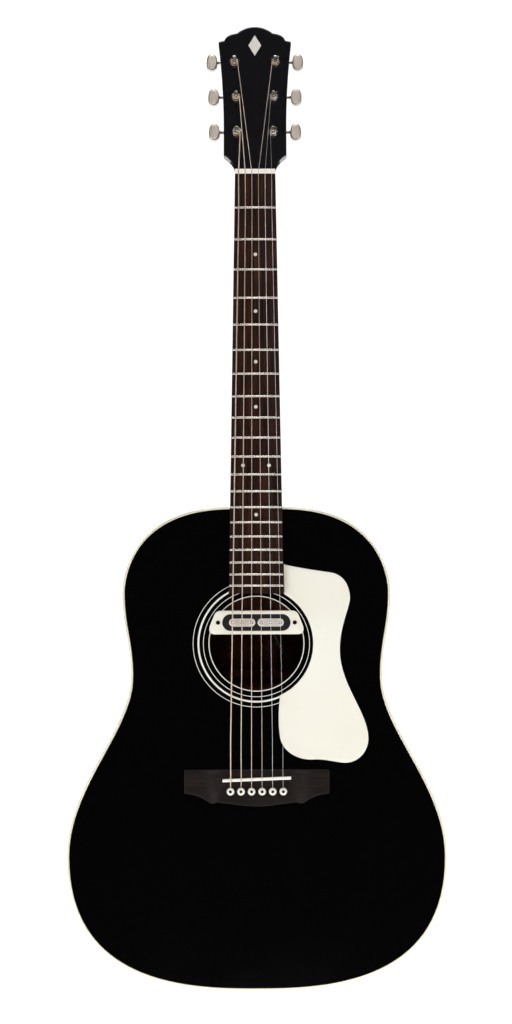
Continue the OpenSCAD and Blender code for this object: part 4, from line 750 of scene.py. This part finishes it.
# White pin plastic, turned and buffed: clean ivory white with a bright gloss
pin_plastic, tree, place = finish("white ABS, turned and buffed", Roughness=0.16, IOR=1.5)
shade(tree, "Base Color", tones(tree, clouds(tree, place, 150), (0.3, "#ECE8DA"), (0.7, "#F7F4EA")))

# Black pin dot: dyed plastic, polished
dot_black, tree, place = finish("black ABS, buffed", Roughness=0.15, IOR=1.5)
shade(tree, "Base Color", tones(tree, clouds(tree, place, 200), (0.3, "#0B0A0A"), (0.7, "#171514")))


def turned(profile, centres, faces=40):
    """Turned pieces: a profile of radius and height is carried round an axis that points out of the
    soundboard, once at each centre, given as x, z and the depth of height zero."""
    around = np.linspace(0, 2 * np.pi, faces, endpoint=False)
    radius, height = np.asarray(profile, float).T
    level = np.broadcast_to(-height[:, None], (len(radius), faces))
    unit = np.stack([radius[:, None] * np.cos(around), level, radius[:, None] * np.sin(around)], -1)
    return unit + np.asarray(centres, float)[:, None, None, :][..., [0, 2, 1]]


string_shares = 0.5 - np.arange(STRINGS) / (STRINGS - 1)
pin_x = PIN_SPREAD * string_shares
pin_head = -BRIDGE_T - 3.4
dome = np.radians(np.array([84, 70, 56, 42, 28, 14, 0, -14, -28]))
pin_profile = np.vstack([
    np.stack([PIN_HEAD_R * np.cos(dome), PIN_HEAD_R * np.sin(dome) * 0.96], 1),
    [[PIN_R + 0.25, -3.2], [PIN_R, -3.6], [PIN_R - 0.6, -20]]])
centres = np.stack([pin_x, np.full(STRINGS, PIN_Z), np.full(STRINGS, pin_head)], 1)
pins = solid("turned_pins", turned(pin_profile, centres), pin_plastic, "guitar", "cream_plastic", sharp=50)
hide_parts("bridge_pins")
dot_profile = [[0.1, 4.12], [0.9, 4.06], [1.55, 3.92], [1.62, 3.6]]
solid("pin_dots", turned(dot_profile, centres, 28), dot_black, "guitar", "black_plastic", sharp=50)

# ------------------------------------------------------------------ Pickup
# A sound-hole magnetic pickup: a cream moulded cover clamped across the hole, and a black potted
# core with two nickel bars and six adjustable pole screws.

PICKUP_Z, PICKUP_W, PICKUP_L, PICKUP_H = HOLE_Z + 23, 103.0, 25.5, 5.5
CORE_W, CORE_L, COIL_W, COIL_L = 73.5, 18.0, 28.3, 8.6

# Cream ABS, moulded: a warm off-white with a fine satin grain
cream_abs, tree, place = finish("cream ABS, moulded", IOR=1.5)
shade(tree, "Base Color", tones(tree, clouds(tree, place, 40, 3), (0.3, "#EBE6D4"), (0.7, "#F4F0E2")))
shade(tree, "Roughness", mapped(tree, clouds(tree, place, 1 / 0.0005, 1), 0.28, 0.42))

# Black ABS, moulded: satin black with fine mould grain
black_abs, tree, place = finish("black ABS, moulded", "#101010", IOR=1.5)
shade(tree, "Roughness", mapped(tree, clouds(tree, place, 1 / 0.0006, 1), 0.32, 0.5))
wear(black_abs, "pickup_core")

# Nickel plate, bright: warm white metal that mirrors the room, a little clouded by handling
bright_nickel, tree, place = finish("nickel plate, bright", "#D8CFC2", Metallic=1.0)
shade(tree, "Roughness", mapped(tree, clouds(tree, place, 220, 3), 0.1, 0.22))

# Steel screw, blackened: oxide black with worn, slightly brown edges
black_steel, tree, place = finish("steel, blackened", Metallic=1.0)
oxide = clouds(tree, place, 600, 3)
shade(tree, "Base Color", tones(tree, oxide, (0.3, "#0C0B0B"), (0.7, "#241F1C")))
shade(tree, "Roughness", mapped(tree, oxide, 0.35, 0.55))
wear(black_steel, "pickup_clamps")

# Nickel plate, satin: a pale metal that spreads the light of the boxes over its flat faces
pale_nickel, tree, place = finish("nickel plate, satin", "#F8F0E6", Metallic=1.0)
shade(tree, "Roughness", mapped(tree, clouds(tree, place, 500, 3), 0.42, 0.55))

# Half of the cover's outline: straight along the top, a shoulder, a hooked end and the straight foot
wide, high = PICKUP_W / 2, PICKUP_L / 2
cover_half = np.vstack([
    np.stack([np.linspace(0.0, wide - 14, 8), np.full(8, high)], 1),
    bend((wide - 13.5, high), (wide - 8, high), (wide - 6, high - 4.5), 10),
    bend((wide - 1.4, -high * 0.25), (wide + 1.6, -high), (wide - 7.5, -high), 16),
    np.stack([np.linspace(wide - 8, 0.0, 8), np.full(8, -high)], 1)])
cover_edge = mirrored(cover_half)[::-1]


def stadium(width, height, steps=20):
    """A strip with round ends, anticlockwise from its right-hand tip."""
    turn = np.linspace(-np.pi / 2, np.pi / 2, steps)
    right = np.stack([(width - height) / 2 + height / 2 * np.cos(turn), height / 2 * np.sin(turn)], 1)
    return np.vstack([right, -right])


def by_angle(line, at):
    """The outline's points where rays from the middle at those angles meet it."""
    angle = np.arctan2(line[:, 1], line[:, 0])
    order = np.argsort(angle)
    angle, line = angle[order], line[order]
    angle = np.concatenate([angle[-1:] - 2 * np.pi, angle, angle[:1] + 2 * np.pi])
    line = np.vstack([line[-1:], line, line[:1]])
    return np.stack([np.interp(at, angle, line[:, 0]), np.interp(at, angle, line[:, 1])], 1)


core_edge = stadium(CORE_W + 0.1, CORE_L + 0.1, 28)
edge_angles = [np.arctan2(edge[:, 1], edge[:, 0]) for edge in (cover_edge, core_edge)]
ray_angles = np.unique(np.round(np.concatenate(edge_angles), 3))
cover_line, slot_line = by_angle(cover_edge, ray_angles), by_angle(core_edge, ray_angles)
cover_layers = [(0, 0.0), (0, PICKUP_H - 1.2), (0.35, PICKUP_H - 0.35), (1.2, PICKUP_H)]
slot_layers = [(0.4, PICKUP_H), (0, PICKUP_H - 0.4), (0, 0.0)]
cover_size, slot_size = (np.linalg.norm(line, axis=1)[:, None] for line in (cover_line, slot_line))
cover_rings = [on_front(*(cover_line * (1 - inset / cover_size) + (0, PICKUP_Z)).T, height)
               for inset, height in cover_layers]
cover_rings += [on_front(*(slot_line * (1 + grow / slot_size) + (0, PICKUP_Z)).T, height)
                for grow, height in slot_layers]
cover = solid("pickup_shell", np.stack(cover_rings), cream_abs, "guitar", "cream_plastic", looped=True,
              sharp=45)
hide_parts("pickup_cover")

COIL_H, COIL_SUNK = 1.2, 0.6
COIL_TOP = PICKUP_H - COIL_SUNK + COIL_H
coil_x = COIL_W / 2 + 1.2
bar_line = stadium(COIL_W, COIL_L)
bar_layers = [(0, COIL_TOP - COIL_H), (0, COIL_TOP - 0.4), (0.12, COIL_TOP - 0.12), (0.4, COIL_TOP),
              (1.0, COIL_TOP)]
half_bar = np.array([COIL_W / 2, COIL_L / 2])
bars = np.stack([[on_front(*(bar_line * (1 - inset / half_bar) + (side * coil_x, PICKUP_Z)).T, height)
                  for inset, height in bar_layers] for side in (-1, 1)])
coil_bars = solid("pickup_bars", bars, pale_nickel, "guitar", "nickel_plate", sharp=50)
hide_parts("pickup_coils")

# The pole screws: nickel cheese heads, each with its round socket coloured blackened steel as painted shade
pole_x = np.array([side * coil_x + step * COIL_W * 0.36 for side in (-1, 1) for step in (-1, 0, 1)])
pole_profile = [[0.1, -0.5], [1.1, -0.5], [1.15, 0.55], [1.35, 0.7], [1.75, 0.7], [2.05, 0.55], [2.1, 0.3],
                [2.1, 0.0], [1.3, 0.0], [1.3, -14.0]]
pole_at = np.stack([pole_x, np.full_like(pole_x, PICKUP_Z), np.full_like(pole_x, -COIL_TOP)], 1)
# The first two rows, the socket's floor and wall, wear the blackened steel: painted shade in the recess
poles = solid("pole_screws", turned(pole_profile, pole_at, 30), [black_steel, bright_nickel], "guitar",
              "fret_wire", skin=[0, 0, 1, 1, 1, 1, 1, 1, 1], sharp=40)
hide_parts("pickup_poles")

# Black rubber lead: dull and soft, with a trace of dust
rubber, tree, place = finish("black rubber, extruded", Roughness=0.7, IOR=1.5)
shade(tree, "Base Color", tones(tree, clouds(tree, place, 90, 3), (0.3, "#121212"), (0.7, "#1E1E1E")))
wear(rubber, "pickup_lead")

# ------------------------------------------------------------------ Tuner plates, bushings and posts
# Open-geared tuners: a pressed steel plate and lugs, screws, press-fit bushings and turned posts,
# all nickel plated, with a brass gear on each post.

wear(bright_nickel, "tuner_bushings", "tuner_screws", *[f"post_{n}" for n in range(1, STRINGS + 1)])

# Nickel plate on pressed steel: brushed a little by the press and polish, so it has a satin sheen
plate_nickel, tree, place = finish("nickel plate on pressed steel", "#C9C1B5", Metallic=1.0)
shade(tree, "Roughness", mapped(tree, clouds(tree, place, 300, 3), 0.2, 0.34))
wear(plate_nickel, "tuner_plates")

# Brass, hobbed: yellow metal, a little tarnished in patches
brass, tree, place = finish("brass, hobbed", Metallic=1.0)
tarnish = clouds(tree, place, 500, 4)
shade(tree, "Base Color", tones(tree, tarnish, (0.3, "#A47E3C"), (0.7, "#CBA75F")))
shade(tree, "Roughness", mapped(tree, tarnish, 0.38, 0.24))
wear(brass, *[f"gear_{n}" for n in range(1, STRINGS + 1)])

# ------------------------------------------------------------------ Tuner knobs and worms
# A steel worm and shaft with an oval knob cast on its end, all nickel plated and tumbled, which
# leaves the knob with a soft satin shine and rounded edges.

# The posts' places up the headstock and out from its middle, from the lowest pair to the highest
POST_ALONG = [43.1, 83.8, 124.5]
POST_OUT = [19.6, 20.4, 22.3]
KNOB_OUT, KNOB_W, KNOB_L, KNOB_T = 24.7, 12.5, 19.7, 6.4
WORM_PITCH, WORM_R, WORM_TURNS, GEAR_TEETH, TOOTH_H, TOOTH_ROOT = 2.2, 2.9, 3, 14, 0.6, 0.7
SHAFT_R, LUG_GAP, LUG_T = 1.5, 0.3, 1.6
worm_half = WORM_TURNS * WORM_PITCH / 2
LUG_OUT = worm_half + LUG_GAP + LUG_T
worm_axis = GEAR_TEETH * WORM_PITCH / (2 * math.pi) + WORM_R - TOOTH_H
shaft_out = -VENEER_T - HEAD_T - 1 - WORM_R - 0.3

# Satin nickel: warm grey metal, tumbled, with a soft blurred shine
satin_nickel, tree, place = finish("nickel plate, tumbled satin", "#BEB3A8", Metallic=1.0)
shade(tree, "Roughness", mapped(tree, clouds(tree, place, 160, 4), 0.26, 0.4))


def post_place(number):
    """Side, distance across and distance up the headstock of a string's post."""
    row = number - 1 if number <= 3 else STRINGS - number
    side = 1 if number <= 3 else -1
    return side, side * POST_OUT[row], POST_ALONG[row]


# The knob is a slightly full oval. Its section is a superellipse, cos(a)^(1/6) of the oval by
# sin(a)^(2/3) of the thickness, so that the faces are nearly flat and the edges round
knob_turn = np.linspace(0, 2 * np.pi, 64, endpoint=False)
OVAL = 0.94
oval = np.stack([KNOB_W / 2 * np.sign(np.cos(knob_turn)) * np.abs(np.cos(knob_turn)) ** OVAL,
                 KNOB_L / 2 * np.sign(np.sin(knob_turn)) * np.abs(np.sin(knob_turn)) ** OVAL], 1)
lean = np.radians([5, 15, 26, 38, 50, 61, 71, 79, 85, 88.5])
lean = np.concatenate([-lean[::-1], [0], lean])
oval_size = np.cos(lean) ** (1 / 6)
layer = np.sign(lean) * np.abs(np.sin(lean)) ** (2 / 3)
knob_local = np.stack([KNOB_OUT + oval_size[:, None] * oval[:, 0], oval_size[:, None] * oval[:, 1],
                       np.broadcast_to((layer * KNOB_T / 2)[:, None], (len(layer), len(oval)))], -1)

# The stem runs from the far lug through the worm and the collar into the knob, as rows of distance
# along the shaft and radius
STEM_FACES = 32
stem_turn = np.linspace(0, 2 * np.pi, STEM_FACES, endpoint=False)
inner_x = KNOB_OUT - KNOB_W / 2
stem_in = np.array([[-LUG_OUT - 0.8, 0.6], [-LUG_OUT - 0.8, 1.3], [-LUG_OUT - 0.6, SHAFT_R],
                    [-worm_half, SHAFT_R]])
stem_out = np.array([[worm_half, SHAFT_R], [LUG_OUT + 0.3, SHAFT_R], [LUG_OUT + 0.35, 2.35],
                     [LUG_OUT + 0.5, 2.5], [LUG_OUT + 1.65, 2.5], [LUG_OUT + 1.8, 2.3],
                     [LUG_OUT + 2.2, 1.75], [inner_x - 1.6, 1.7], [inner_x - 0.8, 1.95],
                     [inner_x + 0.2, 2.35], [inner_x + 1.0, 2.5]])

# The worm's thread is a helix of one turn to the pitch. The radius is the tip's within CREST_WIDE
# degrees of it, the root's past FLANK_WIDE, and runs straight between them
CREST_WIDE, FLANK_WIDE = 24, 68
thread_x = np.linspace(-worm_half, worm_half, 73)
helix = np.pi / 2 - 2 * np.pi * thread_x[:, None] / WORM_PITCH
off_thread = np.degrees(np.abs((stem_turn - helix + np.pi) % (2 * np.pi) - np.pi))
flank_share = np.clip((FLANK_WIDE - off_thread) / (FLANK_WIDE - CREST_WIDE), 0, 1)
thread_r = mix(WORM_R - TOOTH_H - TOOTH_ROOT, WORM_R, flank_share)
thread_r[[0, -1]] = SHAFT_R

# All the worms have the same hand, so on the bass side only the plain stem is mirrored
for number in range(1, STRINGS + 1):
    side, across, up = post_place(number)
    rows_x = np.concatenate([side * stem_in[:, 0], thread_x[::side], side * stem_out[:, 0]])
    rows_r = np.vstack([np.repeat(stem_in[:, 1:], STEM_FACES, 1), thread_r[::side],
                        np.repeat(stem_out[:, 1:], STEM_FACES, 1)])
    stem_rings = np.stack([np.broadcast_to(rows_x[:, None], rows_r.shape), rows_r * np.sin(stem_turn),
                           -rows_r * np.cos(stem_turn)], -1)
    body = f"knob_body_{number}"
    for part, local in (("knob", knob_local * (side, 1, 1)), ("worm_shaft", stem_rings)):
        rings = from_head(across + local[..., 0], up + worm_axis + local[..., 1], shaft_out + local[..., 2])
        made = solid(f"{part}_of_string_{number}", rings, satin_nickel if part == "knob" else plate_nickel,
                     body, "nickel_plate", sharp=40)
        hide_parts(f"knob_{number}")

# ------------------------------------------------------------------ Strings
# Six steel strings: the two thinnest are plain wire, and the rest are wound with phosphor bronze.
# A brass ball holds each under the bridge plate, and the other end is wound round its post.

STRING_D = [0.3, 0.41, 0.61, 0.81, 1.07, 1.35]
PLAIN = 2
NUT_SPREAD, SADDLE_SPREAD, NUT_CREST = 35.7, 56.2, 1.4
NUT_H = BOARD_T + FRET_H + 0.5
PLATE_T, BALL_D, POST_WAIST, COIL_LOW = 2.5, 3.9, 2.6, 3.2
under = TOP_T + PLATE_T
seat_z = PIN_Z + PIN_R - STRING_D[-1] / 2 - 0.17
ball_y = under + BALL_D / 2 + 0.1
ball_z = PIN_Z + PIN_R + 0.1 + BALL_D / 2 + 0.3

# Phosphor bronze winding: warm pale gold wire wound close round a steel core, drawn as ridges
# 0.45 mm apart, about twice the real wire, so that they show
RIDGE_GAP = 0.45
bronze_winding, tree, place = finish("phosphor bronze, close wound", "#E3CDBA", Metallic=1.0, Roughness=0.3)
wound = add(tree, "Attribute", {"attribute_name": "along"}).outputs["Fac"]
wound_turn = add(tree, "Math", {"operation": "MULTIPLY"}, {0: wound, 1: 2 * math.pi / RIDGE_GAP})
ridges = add(tree, "Math", {"operation": "SINE"}, {0: wound_turn.outputs["Value"]})
relief(tree, ridges.outputs["Value"], 0.4, 0.00008)

# Plain steel string: drawn and tinned, cool bright grey
plain_wire, tree, place = finish("steel music wire, drawn and tinned", "#F4F4F4", Metallic=1.0)
shade(tree, "Roughness", mapped(tree, clouds(tree, place, 600), 0.28, 0.4))


def to_head(point):
    """A point of the guitar's frame in the headstock's own: across, up and out."""
    s, c = math.sin(HEAD_TILT), math.cos(HEAD_TILT)
    x, y, z = point[0], point[1] + HEAD_DROP, point[2] - NUT_T
    return np.array([x, y * s + z * c, z * s - y * c])


def string_path(number, radius):
    """Middle line of a string: from its ball up through the bridge, over the saddle and the nut,
    along the tangent to its post, and round the post in a helix that rises by the string's own
    thickness each turn. Returns it with the number of its points that lie on the post."""
    share = string_shares[number - 1]
    x_pin, x_saddle, x_nut = PIN_SPREAD * share, SADDLE_SPREAD * share, NUT_SPREAD * share
    side, post_x, post_up = post_place(number)
    at_nut = np.array([x_nut, -NUT_H - radius, NUT_CREST])
    start = to_head(at_nut)
    coil_r = POST_WAIST + 0.3 + radius
    to_post = np.array([post_x, post_up]) - start[:2]
    distance = np.linalg.norm(to_post)
    heading = math.atan2(to_post[1], to_post[0]) + side * math.asin(coil_r / distance)
    run = math.sqrt(distance ** 2 - coil_r ** 2)
    touch = start[:2] + run * np.array([math.cos(heading), math.sin(heading)])
    at_post = from_head(*touch, COIL_LOW)
    turns = 2.75 if number <= PLAIN else 1.75
    wind = np.linspace(0, 1, round(turns * 26) + 1)
    around = math.atan2(touch[1] - post_up, touch[0] - post_x) - side * 2 * np.pi * turns * wind
    coil = from_head(post_x + coil_r * np.cos(around), post_up + coil_r * np.sin(around),
                     COIL_LOW + (2 * radius + 0.12) * turns * wind)
    at_saddle = np.array([x_saddle, -STRING_H - radius, SADDLE_Z + x_saddle * math.tan(SLANT)])
    behind = at_saddle - (0, 0, 0.55)
    mouth = np.array([x_pin, -BRIDGE_T - 0.3, seat_z])
    path = np.vstack([
        [[x_pin, ball_y, ball_z - 0.8], [x_pin, under + 1.6, seat_z + 0.9]],
        [[x_pin, under + 0.8, seat_z + 0.15], [x_pin, under + 0.1, seat_z]],
        bend(mouth + (0, 1.2, 0), mouth, mix(mouth, behind, 0.14), 6),
        [behind, at_saddle, at_saddle + (0, 0, 0.6)],
        np.linspace(at_saddle + (0, 0, 40), at_nut - (0, 0, 40), 12),
        [at_nut - (0, 0, 2), at_nut - (0, 0, 0.12), mix(at_nut, at_post, 0.006), mix(at_nut, at_post, 0.5)],
        coil])
    return path, len(coil)


def tube(path, radius, on_head, faces=12):
    """Rings round a path: a circle of that radius stands square to it at each point. The circles
    start from the direction square to the path and to X, and the last on_head of them from the
    headstock's normal, made square to the path."""
    ahead = np.gradient(path, axis=0)
    ahead /= np.linalg.norm(ahead, axis=1)[:, None]
    up = np.cross(ahead, [1.0, 0, 0])
    up[-on_head:] = from_head(0, 0, 0) - from_head(0, 0, 1)
    up -= (up * ahead).sum(1)[:, None] * ahead
    up /= np.linalg.norm(up, axis=1)[:, None]
    beside = np.cross(ahead, up)
    around = np.linspace(0, 2 * np.pi, faces, endpoint=False)[:, None]
    return path[:, None] + radius * (up[:, None] * np.cos(around) + beside[:, None] * np.sin(around))


# The ball: a short brass barrel with a waist, which the wire is looped round, as rows of radius and
# distance along its axis
barrel = np.array([[0.6, -1.95], [1.75, -1.95], [1.95, -1.7], [1.95, -1.2], [1.2, -0.8], [1.2, 0.8],
                   [1.95, 1.2], [1.95, 1.7], [1.75, 1.95], [0.6, 1.95]])
barrel_turn = np.linspace(0, 2 * np.pi, 24, endpoint=False)
barrel_x = np.broadcast_to(barrel[:, 1:], (len(barrel), len(barrel_turn)))

for number, diameter in enumerate(STRING_D, 1):
    path, on_post = string_path(number, diameter / 2)
    length = np.concatenate([[0], np.cumsum(np.linalg.norm(np.diff(path, axis=0), axis=1))])
    wire, slot = (plain_wire, "plain_steel") if number <= PLAIN else (bronze_winding, "bronze_winding")
    string = solid(f"string_wire_{number}", tube(path, diameter / 2, on_post + 2), wire, "guitar", slot,
                   along=length, sharp=60)
    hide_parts(f"string_{number}")
    ball = np.stack([path[0, 0] + barrel_x, ball_y + barrel[:, :1] * np.cos(barrel_turn),
                     ball_z + barrel[:, :1] * np.sin(barrel_turn)], -1)
    solid(f"string_ball_{number}", ball, brass, "guitar", "brass", sharp=40)

# ------------------------------------------------------------------ Output jack and strap button
# A turned, nickel-plated jack through the end block, and a strap button screwed to the heel.

wear(bright_nickel, "output_jack", "strap_button")

# ------------------------------------------------------------------ Studio
# A pale floor under and behind the hanging guitar, which glows a little, as lit paper does. Soft
# boxes stand to both sides in front, above and behind, clear of what the flat lacquer mirrors.

floor_z = tail_z - 260
FLOOR_R, FLOOR_FRONT = 5200.0, -1300.0
turn_round = np.linspace(0, 2 * np.pi, 96, endpoint=False)
floor_line = np.stack([FLOOR_R * np.cos(turn_round), FLOOR_FRONT + FLOOR_R * (1 + np.sin(turn_round))], 1)
floor_mesh = bpy.data.meshes.new("studio_floor")
floor_points = np.column_stack([floor_line, np.full(len(floor_line), floor_z)]) * 0.001
floor_mesh.from_pydata(floor_points.tolist(), [], [range(len(floor_line))])
floor = bpy.data.objects.new("studio_floor", floor_mesh)
bpy.context.scene.collection.objects.link(floor)
# Pale seamless paper: matt white
paper, tree, place = finish("white seamless paper", "#F4F4F4", Roughness=0.9,
                            Emission_Color=(1, 1, 1, 1), Emission_Strength=1.0)
floor_mesh.materials.append(paper)


def soft_box(name, location, target, size, power):
    """A square soft light at location, turned to face target."""
    lamp = bpy.data.lights.new(name, "AREA")
    lamp.shape, lamp.size, lamp.energy = "SQUARE", size, power
    obj = bpy.data.objects.new(name, lamp)
    from_to = np.array(target) - np.array(location)
    yaw = math.atan2(from_to[1], from_to[0]) - math.pi / 2
    obj.location = location
    obj.rotation_euler = (math.atan2(math.hypot(*from_to[:2]), -from_to[2]), 0, yaw)
    bpy.context.scene.collection.objects.link(obj)
    return obj


soft_box("left box", (-2.5, -2.3, -0.1), (0, 0, -0.35), 1.6, 38)
soft_box("right box", (2.5, -2.3, -0.1), (0, 0, -0.35), 1.6, 38)
soft_box("front box", (0, -3.0, 1.2), (0, 0, -0.5), 0.7, 11)
soft_box("high box", (0, -1.6, 2.7), (0, 0, -0.2), 1.2, 26)
soft_box("top box", (0, 0.7, 2.3), (0, 0, -0.3), 1.4, 30)
soft_box("back box left", (-2.2, 2.4, 0.9), (0, 0, -0.3), 1.4, 40)
soft_box("back box right", (2.2, 2.4, 0.9), (0, 0, -0.3), 1.4, 40)

# The room is nearly dark to the guitar and white behind it
world = bpy.data.worlds.new("studio room")
bpy.context.scene.world = world
world.use_nodes = True
tree = world.node_tree
tree.nodes.clear()
ray = add(tree, "LightPath")
dim = add(tree, "Background", {}, {"Color": (1, 1, 1, 1), "Strength": 0.012})
bright = add(tree, "Background", {}, {"Color": (1, 1, 1, 1), "Strength": 1.1})
either = add(tree, "MixShader", {}, {0: ray.outputs["Is Camera Ray"], 1: dim.outputs[0],
                                     2: bright.outputs[0]})
add(tree, "OutputWorld", {}, {"Surface": either.outputs[0]})

# The camera stands 3.2 m in front of the strings, at the height of the joint of neck and body. It
# looks straight back, and is turned a little about its line of sight
CAMERA_AWAY, FRAME_H, FRET_PLANE = 3.2, 1.1031, -0.0076
eye = bpy.data.cameras.new("camera")
eye.sensor_width = 36
eye.lens = 36 * CAMERA_AWAY / FRAME_H
camera = bpy.data.objects.new("camera", eye)
camera.location = (-0.0001, FRET_PLANE - CAMERA_AWAY, -0.3646)
camera.rotation_euler = (math.pi / 2, math.radians(0.16), 0)
bpy.context.scene.collection.objects.link(camera)
bpy.context.scene.camera = camera
bpy.context.scene.view_settings.view_transform = "Standard"
